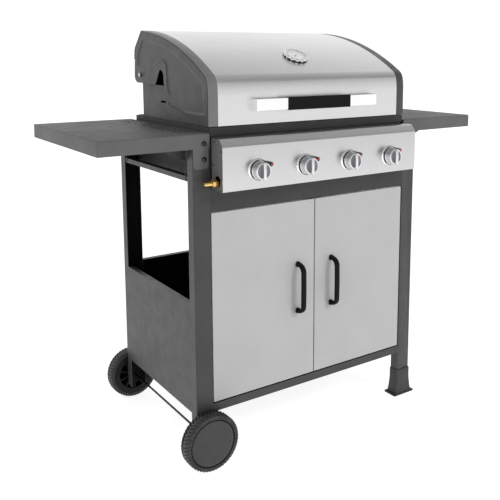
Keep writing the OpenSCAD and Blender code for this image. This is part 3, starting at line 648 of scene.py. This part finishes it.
def make_lid_end(side, name):
    """Pressed end: a plate with a recessed field inside a ridge."""
    outer, tab, lower = lid_end_outline(FLANGE_EDGE)
    outline = outer + tab + lower
    field_low = in_frame(FIELD_LOW)
    mesh = bmesh.new()
    face_x = end_high.x - 0.4 * MM
    ring = [mesh.verts.new((face_x, y, z)) for y, z in outline]
    edges = [mesh.edges.new((a, b)) for a, b in zip(ring, ring[1:] + ring[:1])]
    bmesh.ops.triangle_fill(mesh, edges=edges, use_beauty=True)
    for limit in (0.05, 0.025, 0.013, 0.007, 0.0045):
        long_edges = [edge for edge in mesh.edges if edge.calc_length() > limit]
        bmesh.ops.subdivide_edges(mesh, edges=long_edges, cuts=1)
        bmesh.ops.triangulate(mesh, faces=mesh.faces)
        bmesh.ops.beautify_fill(mesh, faces=mesh.faces, edges=mesh.edges)
    whole = lid_path(0)[0]
    field = polygon_test(whole + [(y, z) for y, z in field_low])
    for vert in mesh.verts:
        y, z = vert.co.y, vert.co.z
        inside = smooth_step(distance_to(whole, y, z), BORDER, BORDER + 5 * MM)
        low_gap = distance_to(field_low, y, z)
        if not field(y, z):
            low_gap = -low_gap
        inside *= smooth_step(low_gap, 1.5 * MM, 6 * MM)
        vert.co.x -= RECESS * inside
        vert.co.x += RIDGE * (1 - smooth_step(abs(low_gap), 1 * MM, 5 * MM)) * smooth_step(
            distance_to(whole, y, z), 12 * MM, 22 * MM
        )
    low_x = end_high.x - PLATE_T
    made = bmesh.ops.extrude_face_region(mesh, geom=list(mesh.faces))
    for item in made["geom"]:
        if isinstance(item, bmesh.types.BMVert):
            item.co.x = min(item.co.x - 0.8 * MM, low_x)
    if side < 0:
        for vert in mesh.verts:
            vert.co.x = -vert.co.x
    finish_mesh(name + "_pressed", mesh, M["lid_end"], "lid", (name,), 30)

    # The flange: a rolled bead round the plate's edge, and the band that the skin meets.
    # Each pair is how far the bead's section lies inside the outline, and outside the plate.
    bead = [
        (0, -28), (0, -0.7), (0.25, -0.2), (0.6, 0), (1.0, 0), (1.3, -0.3), (1.3, -2.3),
        (4.6, -2.3), (4.6, -2.9), (1.8, -2.9), (1.8, -28),
    ]
    rows = [lid_path(inset * MM)[0] for inset, _ in bead]
    flange = bmesh.new()
    loft(flange, [
        [Vector((side * (end_high.x + out * MM), *rows[k][i])) for k, (_, out) in enumerate(bead)]
        for i in range(len(rows[0]))
    ])
    # Painted light: the left flange takes a lighter paint than the right one, which has the frame
    # paint.
    look = "flange" if side < 0 else "frame"
    finish_mesh(name + "_flange", flange, M[look], "lid", (), 30)


make_lid_end(1, "lid_end_right")
make_lid_end(-1, "lid_end_left")

# ---------------------------------------------------------------- control panel

panel_low, panel_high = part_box("control_panel")
PANEL_FLAT = 40 * MM
PANEL_BEVEL = 18 * MM
PANEL_BEND = 3.5 * MM


def fillet(points, reach, steps=5):
    """An open outline whose corners are rounded over a given distance on both sides of each."""
    rounded = [points[0]]
    for before, bend, after in zip(points, points[1:], points[2:]):
        corner = Vector(bend)
        start = corner + (Vector(before) - corner).normalized() * reach
        end = corner + (Vector(after) - corner).normalized() * reach
        for i in range(steps + 1):
            t = i / steps
            rounded.append(tuple(start * (1 - t) ** 2 + corner * 2 * t * (1 - t) + end * t * t))
    rounded.append(points[-1])
    return rounded


def make_control_panel():
    """Folded front: a level top, a flat bevel, the upright front and a lip below."""
    front, back = panel_low.y, panel_high.y
    top = panel_high.z

    def section(inset):
        return fillet([
            (back, top - inset),
            (back - PANEL_FLAT + inset / 3, top - inset),
            (front + inset, top - PANEL_BEVEL - inset / 3),
            (front + inset, panel_low.z + inset),
            (back - SKIN, panel_low.z + inset),
        ], PANEL_BEND - inset)

    mesh = bmesh.new()
    prism_along_x(mesh, section(0) + section(SKIN)[::-1], panel_low.x, panel_high.x, 6)
    finish_mesh("control_panel_front", mesh, M["panel_steel"], "root", ("control_panel",), 40)


make_control_panel()

# ---------------------------------------------------------------- knobs

KNOB_R = 24 * MM


def make_knob(number):
    """Turned knob with hollows on both sides of a raised, waisted grip bar; the hollows' floors are a
    dark metal as painted shade.
    """
    node = f"knob_{number}"
    low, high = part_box(node)
    axis = Vector(((low.x + high.x) / 2, high.y, (low.z + high.z) / 2))
    place = along(axis, (0, -1, 0))
    depth = high.y - low.y
    cup = depth * 0.76
    hollow = KNOB_R - 5.6 * MM
    mesh = bmesh.new()
    rim = [
        (0, 0.4 * MM), (KNOB_R - 3 * MM, 0.4 * MM), (KNOB_R - 2.4 * MM, 0), (KNOB_R - 0.4 * MM, 0),
        (KNOB_R, 0.5 * MM), (KNOB_R, 3 * MM), (KNOB_R - 1 * MM, 4 * MM),
        (KNOB_R - 1.4 * MM, cup - 3 * MM),
    ]
    rim += arc((KNOB_R - 4.4 * MM, cup - 3 * MM), 3 * MM, 0, 90, 6)
    rim += [
        (hollow + 0.4 * MM, cup - 0.3 * MM), (hollow, cup - 0.9 * MM), (hollow, cup - 3 * MM),
        (0, cup - 3 * MM),
    ]
    lathe(mesh, rim, place, 72)
    levels = [
        (cup - 3 * MM, 1.05), (cup + 2 * MM, 0.98), (depth - 2.2 * MM, 0.8),
        (depth - 0.7 * MM, 0.62), (depth, 0.4),
    ]
    loops = []
    for height, scale in levels:
        loop = []
        for i in range(48):
            turn = 2 * math.pi * i / 48
            long = (KNOB_R - 1.6 * MM) * (0.94 + 0.06 * scale)
            waist = 5.4 * MM * scale * (0.82 + 0.3 * abs(math.sin(turn)) ** 3)
            x = waist * math.copysign(abs(math.cos(turn)) ** 0.45, math.cos(turn))
            y = long * math.copysign(abs(math.sin(turn)) ** 0.75, math.sin(turn))
            loop.append(place @ Vector((x, y, height)))
        loops.append(loop)
    loft(mesh, loops)
    finish_mesh(f"{node}_turned", mesh, M["chrome"], node, (node,), 40)

    # Painted shade: the hollows' floor is a dark metal that stands for the shade in the recesses.
    floor = bmesh.new()
    lathe(floor, [
        (0, cup - 3.2 * MM), (hollow - 0.2 * MM, cup - 3.2 * MM), (hollow - 0.2 * MM, cup - 1.6 * MM),
        (hollow * 0.7, cup - 2.4 * MM), (0, cup - 2.6 * MM),
    ], place, 48)
    finish_mesh(f"{node}_hollows", floor, M["hollow"], node)

    line = bmesh.new()
    bar = [(-0.5, 6), (0.5, 6), (0.5, 19), (-0.5, 19)]
    loft(line, [
        [place @ Vector((x * MM, y * MM, h)) for x, y in bar]
        for h in (depth - 0.6 * MM, depth + 0.05 * MM)
    ])
    finish_mesh(f"{node}_marker", line, M["ink"], node)


def flat_plate(mesh, outlines, place, low, high):
    """A plate between closed (x, y) outlines, from one height to another."""
    edges = []
    for outline in outlines:
        ring = [mesh.verts.new(place @ Vector((x, y, low))) for x, y in outline]
        edges += [mesh.edges.new(pair) for pair in zip(ring, ring[1:] + ring[:1])]
    filled = bmesh.ops.triangle_fill(mesh, edges=edges, use_beauty=True)
    faces = [item for item in filled["geom"] if isinstance(item, bmesh.types.BMFace)]
    grown = bmesh.ops.extrude_face_region(mesh, geom=faces)
    rise = place.to_3x3() @ Vector((0, 0, high - low))
    for item in grown["geom"]:
        if isinstance(item, bmesh.types.BMVert):
            item.co += rise


def make_bezels():
    """Behind each knob: a bright skirt with a dark ring on it, whose tongue ends in a boss. The tongue
    and boss are black plastic; the thin ring round the knob's edge is painted shade for the gap behind
    the knob.
    """
    plate_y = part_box("knob_bezels")[1].y
    discs, rings = bmesh.new(), bmesh.new()
    for number in range(1, 5):
        centre = middle(f"stem_{number}")
        place = along((centre.x, plate_y, centre.z), (0, -1, 0))
        lathe(discs, [
            (7 * MM, 0), (29.6 * MM, 0), (29.4 * MM, 0.9 * MM), (26.2 * MM, 4.4 * MM),
            (24.8 * MM, 4.4 * MM), (24.8 * MM, 1 * MM), (7 * MM, 1 * MM), (7 * MM, 0),
        ], place, 72)
        # Painted shade: the thin dark ring just outside the knob stands for the shade in the gap; the
        # tongue and boss are real black plastic.
        ring = arc((0, 0), 26.3 * MM, 88, 373, 60)
        boss = arc(BOSS, 5.8 * MM, -80, 80, 12)
        hole = arc((0, 0), 24.6 * MM, 0, 355, 71)
        flat_plate(rings, [ring + boss, hole], place, 4.3 * MM, 5.4 * MM)
        lathe(rings, [
            (0, 0.1 * MM), (5.2 * MM, 0.1 * MM), (5.6 * MM, 4.8 * MM), (5.2 * MM, 6.4 * MM),
            (4.4 * MM, 7 * MM), (0, 7 * MM),
        ], place @ Matrix.Translation((*BOSS, 0)), 28)
    finish_mesh("knob_discs", discs, M["handle"], "root", ("knob_bezels",), 40)
    finish_mesh("knob_rings_with_gap_shade", rings, M["bezel"], "root", (), 40)


make_bezels()
for number in range(1, 5):
    make_knob(number)

# ---------------------------------------------------------------- thermometer


def make_thermometer():
    """Fluted bezel on a dark base, printed dial with ticks, a needle and a clear lens."""
    crown_centre, crown = lid_path(0)[1:]
    target = middle("thermometer_dial")
    slope = math.atan2(crown_centre[0] - target.y, target.z - crown_centre[1])
    normal = Vector((0, -math.sin(slope), math.cos(slope)))
    foot = Vector((0, crown_centre[0], crown_centre[1])) + normal * crown
    place = along(foot, normal)
    outer, dial = 37 * MM, 29.5 * MM  # radii of the bezel and the dial
    segments, lobes, flute = 192, 14, 0.09
    mesh = bmesh.new()
    profile = [
        (0, -0.5 * MM), (outer - 3 * MM, -0.5 * MM), (outer - 1.5 * MM, 0.4 * MM),
        (outer - 0.4 * MM, 2 * MM), (outer - 0.4 * MM, 6 * MM), (outer - 1.6 * MM, 8.2 * MM),
        (outer - 3.4 * MM, 9 * MM),
        (dial + 1.4 * MM, 8.6 * MM), (dial, 7.4 * MM), (dial, 4.6 * MM), (0, 4.6 * MM)
    ]
    rings = lathe(mesh, profile, Matrix.Identity(4), segments)
    for ring, point in zip(rings, profile):
        if point[0] < outer - 3 * MM:
            continue
        for i, vert in enumerate(ring):
            wave = abs(math.sin(lobes / 2 * 2 * math.pi * i / segments))
            vert.co.x *= 1 - flute * (1 - wave)
            vert.co.y *= 1 - flute * (1 - wave)
    probe = [
        (0, -40 * MM), (3.5 * MM, -39 * MM), (4.5 * MM, -36 * MM), (4.5 * MM, -0.5 * MM),
        (0, -0.5 * MM),
    ]
    lathe(mesh, probe, Matrix.Identity(4), 24)
    mesh.transform(place)
    finish_mesh("thermometer_bezel", mesh, M["chrome"], "lid", ("thermometer_body",), 50)

    base = bmesh.new()
    lathe(base, [
        (dial, 0.2 * MM), (outer - 1.2 * MM, 0.2 * MM), (outer - 1.2 * MM, 3.4 * MM),
        (dial, 3.4 * MM), (dial, 0.2 * MM),
    ], place, 64)
    finish_mesh("thermometer_base", base, M["bezel"], "lid")

    face = bmesh.new()
    lathe(face, [
        (0, 4.7 * MM), (dial - 0.2 * MM, 4.7 * MM), (dial - 0.2 * MM, 5.2 * MM), (0, 5.2 * MM),
    ], place, 64)
    finish_mesh("thermometer_face", face, M["dial"], "lid", ("thermometer_dial",))

    marks = bmesh.new()
    for i in range(25):
        turn = math.radians(225 - 270 * i / 24)
        long = 5.5 * MM if i % 4 == 0 else 3 * MM
        wide = 0.9 * MM if i % 4 == 0 else 0.5 * MM
        out = Vector((math.cos(turn), math.sin(turn), 0))
        across = Vector((-out.y, out.x, 0)) * wide / 2
        corners = [out * (dial - 3 * MM) + across, out * (dial - 3 * MM) - across,
                   out * (dial - 3 * MM - long) - across, out * (dial - 3 * MM - long) + across]
        loft(marks, [
            [place @ (c + Vector((0, 0, h))) for c in corners] for h in (5.15 * MM, 5.3 * MM)
        ])
    finish_mesh("thermometer_marks", marks, M["ink"], "lid")

    needle = bmesh.new()
    turn = math.radians(222)
    out = Vector((math.cos(turn), math.sin(turn), 0))
    across = Vector((-out.y, out.x, 0))
    corners = [out * 20 * MM, across * 1.4 * MM, -out * 7 * MM, -across * 1.4 * MM]
    loft(needle, [
        [place @ (c + Vector((0, 0, h))) for c in corners] for h in (5.6 * MM, 6.0 * MM)
    ])
    lathe(needle, [
        (0, 5.3 * MM), (2.6 * MM, 5.3 * MM), (2.4 * MM, 6.4 * MM), (0, 6.7 * MM),
    ], place, 24)
    finish_mesh("thermometer_needle", needle, M["red"], "lid")

    glass = bmesh.new()
    lathe(glass, [
        (0, 7.2 * MM), (dial - 0.3 * MM, 6.9 * MM), (dial - 0.3 * MM, 7.5 * MM), (0, 7.9 * MM),
    ], place, 64)
    finish_mesh("thermometer_lens", glass, M["lens"], "lid")


make_thermometer()

# ---------------------------------------------------------------- door handles


def make_door_handle(node, body):
    """Bow handle: a flattened bar swept from one foot to the other."""
    low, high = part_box(node)
    x = (low.x + high.x) / 2
    half = (high.z - low.z) / 2
    centre_z = (high.z + low.z) / 2
    out = high.y - low.y
    wide = (high.x - low.x) / 2
    thick = 4.6 * MM
    bend = 20 * MM
    path = [(half - 8 * MM, 0.0), (half - 8 * MM, 3 * MM)]
    corner = (half - 8 * MM - bend, out - thick - bend)
    path += [(p[0], p[1]) for p in arc(corner, bend, 0, 90, 10)]
    path += [(corner[0] * f, out - thick + 0.4 * MM * (1 - abs(f)) * 2) for f in (0.6, 0.2)]
    full = path + [(-z, y) for z, y in reversed(path)]
    mesh = bmesh.new()
    loops = []
    for i, (z, y) in enumerate(full):
        before = Vector(full[max(0, i - 1)])
        after = Vector(full[min(len(full) - 1, i + 1)])
        run = (after - before).normalized()
        side = Vector((-run.y, run.x))
        to_foot = 1 - smooth_step(y, 0, 14 * MM)
        half_wide = wide * (1 - 0.12 * to_foot)
        half_thick = thick * (1 + 0.75 * to_foot)
        loop = []
        for k in range(28):
            turn = 2 * math.pi * k / 28
            a = half_wide * math.copysign(abs(math.cos(turn)) ** 0.6, math.cos(turn))
            b = half_thick * math.copysign(abs(math.sin(turn)) ** 0.6, math.sin(turn))
            loop.append(Vector((x + a, high.y - y - side.y * b, centre_z + z + side.x * b)))
        loops.append(loop)
    loft(mesh, loops)
    for vert in mesh.verts:
        vert.co.y = min(vert.co.y, high.y)
    finish_mesh(node + "_bow", mesh, M["plastic"], body, (node,), 50)


make_door_handle("door_handle_left", "door_left")
make_door_handle("door_handle_right", "door_right")

# ---------------------------------------------------------------- wheels

LUGS = 48
LUG_STEPS = 12             # points round the tyre for each lug
TREAD = 3.0 * MM
SIDE_LUG = 1.3 * MM        # depth of the grooves in the tyre's sides


def make_tyre(node, body):
    """Solid tyre: a smooth middle rib, chevron lugs, and grooves that run on down the sides.

    A section point is its radius, its distance from the middle, and its kind: 0 plain, 1 on the
    grooved side, 2 on the tread.
    """
    low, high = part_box(node)
    centre = (low + high) / 2
    radius = (high.z - low.z) / 2
    half = (high.y - low.y) / 2
    rim = radius - 13 * MM
    tread = [-1 + 2 * i / 24 for i in range(25)]
    side = [(rim, half - 3 * MM, 0), (rim + 0.8 * MM, half - 0.6 * MM, 0), (rim + 2 * MM, half, 0),
            (rim + 3.4 * MM, half, 1), (rim + 7 * MM, half, 1), (radius - 3 * MM, half - 0.2 * MM, 1)]
    section = [(r, -w, kind) for r, w, kind in side]
    section += [(radius - 2.6 * MM * abs(w) ** 9, w * (half - 0.9 * MM), 2) for w in tread]
    section += [(r, w, kind) for r, w, kind in reversed(side)]
    turns = LUGS * LUG_STEPS
    mesh = bmesh.new()
    rings = []
    for i in range(turns):
        turn = 2 * math.pi * i / turns
        ring = []
        for r, w, kind in section:
            skew = 1.1 * min(abs(w) / half, 1)
            phase = (i / LUG_STEPS + skew + (0.5 if w > 0 else 0)) % 1.0
            groove = 1 - smooth_step(abs(phase - 0.5), 0.18, 0.27)
            if kind == 2:
                r -= TREAD * groove * smooth_step(abs(w), 2.6 * MM, 3.8 * MM)
            elif kind == 1:
                w -= math.copysign(SIDE_LUG * groove, w)
            ring.append(mesh.verts.new((
                centre.x + r * math.cos(turn), centre.y + w, centre.z + r * math.sin(turn)
            )))
        rings.append(ring)
    for a, b in zip(rings, rings[1:] + rings[:1]):
        for k in range(len(section)):
            n = (k + 1) % len(section)
            mesh.faces.new((a[k], a[n], b[n], b[k]))
    finish_mesh(node + "_tread", mesh, M["rubber"], body, (node,), 28)


def make_hubcap(node, body, out):
    """Smooth cap with a rounded edge, a little smaller than the rim that it closes."""
    low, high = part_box(node)
    edge = high.y if out > 0 else low.y
    height = 4.5 * MM
    start = Vector(((low.x + high.x) / 2, edge - out * height, (low.z + high.z) / 2))
    place = along(start, (0, out, 0))
    radius = (high.x - low.x) / 2 - 1.4 * MM
    profile = [(0, 0.2 * MM), (radius - 0.6 * MM, 0.2 * MM), (radius, 0.8 * MM), (radius, 2 * MM)]
    profile += arc((radius - 2 * MM, 2 * MM), 2 * MM, 0, 80, 6)[1:]
    profile += [(radius * 0.8, 4.2 * MM), (radius * 0.5, 4.4 * MM), (0, height)]
    mesh = bmesh.new()
    lathe(mesh, profile, place, 96)
    finish_mesh(node + "_cap", mesh, M["cap"], body, (node,), 40)


for end, out in (("front", -1), ("rear", 1)):
    make_tyre(f"tyre_{end}", f"wheel_{end}")
    make_hubcap(f"hubcap_{end}", f"wheel_{end}", out)

# ---------------------------------------------------------------- gas inlet


def make_gas_inlet():
    """Turned brass fitting: hexagon, body and a hose barb with three ridges."""
    low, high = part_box("gas_inlet")
    start = Vector((high.x, (low.y + high.y) / 2, (low.z + high.z) / 2))
    place = along(start, (-1, 0, 0))
    profile = [
        (3, 0), (7.9, 0), (7.9, 12), (8.4, 12.4), (8.4, 35), (4.6, 35), (4.6, 51),
    ]
    for base in (51, 56.8, 62.6):
        profile += [(5.4, base + 0.4), (5.4, base + 1.6), (4.4, base + 5.4)]
    profile += [(4.4, 69), (3.9, 70.4), (3.1, 71), (2.4, 71), (2.4, 4), (3, 0)]
    mesh = bmesh.new()
    lathe(mesh, [(radius * MM, height * MM) for radius, height in profile], place, 40)
    loops = []
    for height, across in ((35, 10.2), (35.9, 11), (49.1, 11), (50, 10.2)):
        loops.append([
            place @ Vector((across * MM * math.cos(math.radians(60 * k)),
                            across * MM * math.sin(math.radians(60 * k)), height * MM))
            for k in range(6)
        ])
    loft(mesh, loops)
    finish_mesh("gas_inlet_barb", mesh, M["brass"], "root", ("gas_inlet",), 35)


make_gas_inlet()

# ---------------------------------------------------------------- feet


def make_feet():
    """Two moulded feet on thin bases, each with a socket for its post."""
    low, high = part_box("feet")
    x = (low.x + high.x) / 2
    mesh = bmesh.new()
    for end in (-1, 1):
        y = cart_y + end * (HALF_DEPTH - POST_DEPTH / 2)
        loops = []
        levels = [
            (0, 41, 24), (4.2, 41, 24), (5, 40.2, 23.2), (5.2, 33, 20.6), (8, 31.6, 19.8),
            (24, 29.2, 18.6), (44, 27.2, 17.6), (56, 26.6, 17.2), (80, 26.6, 17.2), (82, 26, 16.6),
        ]
        for height, hx, hy in levels:
            loops.append([
                Vector((x + a, y + b, height * MM))
                for a, b in rounded_rectangle(hx * MM, hy * MM, 3 * MM)
            ])
        for height, grow in ((82 * MM, -2.4 * MM), (13 * MM, -2.4 * MM)):
            loops.append([
                Vector((x + a, y + b, height))
                for a, b in rounded_rectangle(26.6 * MM + grow, 17.1 * MM + grow, 0.8 * MM)
            ])
        loft(mesh, loops)
    finish_mesh("feet_moulded", mesh, M["foot"], "root", ("feet",), 50)


make_feet()

# ---------------------------------------------------------------- screws


def screw_head(mesh, place, radius, height):
    """Plain domed head."""
    dome = [(0, 0), (radius, 0), (radius, height * 0.25)]
    dome += [(radius * math.cos(t), height * (0.25 + 0.75 * math.sin(t)))
             for t in (0.4, 0.7, 1.0, 1.25)]
    dome += [(0, height)]
    lathe(mesh, dome, place, 28)


def make_screws():
    """Large heads on the table tabs, and small ones on the control panel's ends."""
    tab_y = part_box("table_left")[0].y
    plate_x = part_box("panel_ends")[1].x
    mesh = bmesh.new()
    for side in (-1, 1):
        for z in TABLE_SCREWS[1]:
            place = along((side * TABLE_SCREWS[0] * MM, tab_y, z * MM), (0, -1, 0))
            screw_head(mesh, place, 6.6 * MM, 4.8 * MM)
        for y, z in in_frame([(-244, 861), (-239, 801), (-276, 838), (-274, 768)]):
            screw_head(mesh, along((side * plate_x, y, z), (side, 0, 0)), 2.5 * MM, 1.5 * MM)
    finish_mesh("screw_heads", mesh, M["black_screw"], "root", ("screws",), 40)


make_screws()

# ---------------------------------------------------------------- red dots


def make_dots():
    """A red dot on each boss beside a knob."""
    mesh = bmesh.new()
    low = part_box("knob_bezels")[0]
    for number in range(1, 5):
        centre = middle(f"stem_{number}")
        at = (centre.x + BOSS[0], low.y - 5 * MM, centre.z + BOSS[1])
        lathe(mesh, [
            (0, -0.3 * MM), (2.6 * MM, -0.3 * MM), (2.6 * MM, 0.2 * MM), (1.9 * MM, 0.6 * MM),
            (0, 0.8 * MM),
        ], along(at, (0, -1, 0)), 24)
    finish_mesh("pointer_dots", mesh, M["red"], "root")


make_dots()

# ---------------------------------------------------------------- carried-over CAD nodes

SOFT_EDGES = {
    "lid_handle": 0.9 * MM, "lid_handle_grip": 0.7 * MM, "cooking_grates": 1.2 * MM,
    "hinge_cheeks": 0.6 * MM, "wheel_front": 0.8 * MM,
    "wheel_rear": 0.8 * MM, "valves": 0.8 * MM, "magnet_catch": 1 * MM,
}
THIN_EDGE = 0.35 * MM

for name, look in CAD_LOOK.items():
    node = nodes[name]
    set_material(node, M[look])
    if not node.hide_render:
        soften(node, SOFT_EDGES.get(name, THIN_EDGE))

# ---------------------------------------------------------------- floor and light


def make_floor():
    """A white floor, bright enough of itself to hide most of the object's shadow."""
    mesh = bmesh.new()
    bmesh.ops.create_grid(mesh, x_segments=2, y_segments=2, size=14)
    data = bpy.data.meshes.new("floor")
    mesh.to_mesh(data)
    mesh.free()
    floor = bpy.data.objects.new("floor", data)
    bpy.context.scene.collection.objects.link(floor)
    made = Material("floor_white", Specular_IOR_Level=0.2)
    made.colours(made.noise(0.8, 2), [(0.3, grey(0.4)), (0.7, grey(0.44))])
    made.roughness(made.span(made.noise(3, 2), 0.7, 0.85))
    made.shader.inputs["Emission Color"].default_value = (1, 1, 1, 1)
    made.shader.inputs["Emission Strength"].default_value = 0.85
    data.materials.append(made.data)


def area_light(name, place, target, size, power):
    """A rectangular light that doesn't show in reflections."""
    data = bpy.data.lights.new(name, "AREA")
    data.shape = "RECTANGLE"
    data.size, data.size_y = size
    data.energy = power
    light = bpy.data.objects.new(name, data)
    light.location = place
    light.visible_glossy = False
    direction = Vector(target) - Vector(place)
    light.rotation_mode = "QUATERNION"
    light.rotation_quaternion = direction.to_track_quat("-Z", "Y")
    bpy.context.scene.collection.objects.link(light)


def make_world():
    """A white studio: bright behind the object, darker overhead and above the camera."""
    world = bpy.data.worlds.new("studio")
    bpy.context.scene.world = world
    world.use_nodes = True
    tree = world.node_tree
    background = tree.nodes["Background"]
    direction = tree.nodes.new("ShaderNodeTexCoord")
    split = tree.nodes.new("ShaderNodeSeparateXYZ")
    tree.links.new(direction.outputs["Generated"], split.inputs["Vector"])

    def heights(stops):
        """A colour ramp of grey levels over the direction's height."""
        node = tree.nodes.new("ShaderNodeValToRGB")
        while len(node.color_ramp.elements) < len(stops):
            node.color_ramp.elements.new(0.5)
        for element, (position, level) in zip(node.color_ramp.elements, stops):
            element.position = position
            element.color = (level, level, level, 1)
        tree.links.new(split.outputs["Z"], node.inputs["Fac"])
        return node.outputs["Color"]

    side = tree.nodes.new("ShaderNodeMapRange")
    side.inputs["From Min"].default_value = -0.45
    side.inputs["From Max"].default_value = 0.25
    tree.links.new(split.outputs["Y"], side.inputs["Value"])
    mix = tree.nodes.new("ShaderNodeMix")
    mix.data_type = "RGBA"
    tree.links.new(side.outputs["Result"], mix.inputs["Factor"])
    for socket, stops in (
        ("A", [(0.0, 0.95), (0.18, 0.9), (0.34, 0.3), (0.7, 0.4), (1.0, 0.45)]),
        ("B", [(0.0, 1.05), (0.3, 1.2), (0.6, 1.0), (0.82, 0.55), (1.0, 0.45)]),
    ):
        tree.links.new(heights(stops), mix.inputs[socket])
    tree.links.new(mix.outputs["Result"], background.inputs["Color"])
    background.inputs["Strength"].default_value = 1.0


make_floor()
make_world()
area_light("key", (1.2, -3.2, 2.6), (0, 0, 0.6), (0.8, 0.8), 60)
area_light("fill", (-3.0, -1.6, 1.7), (0, 0, 0.6), (1.2, 1.8), 16)
bpy.context.scene.view_settings.view_transform = "Standard"
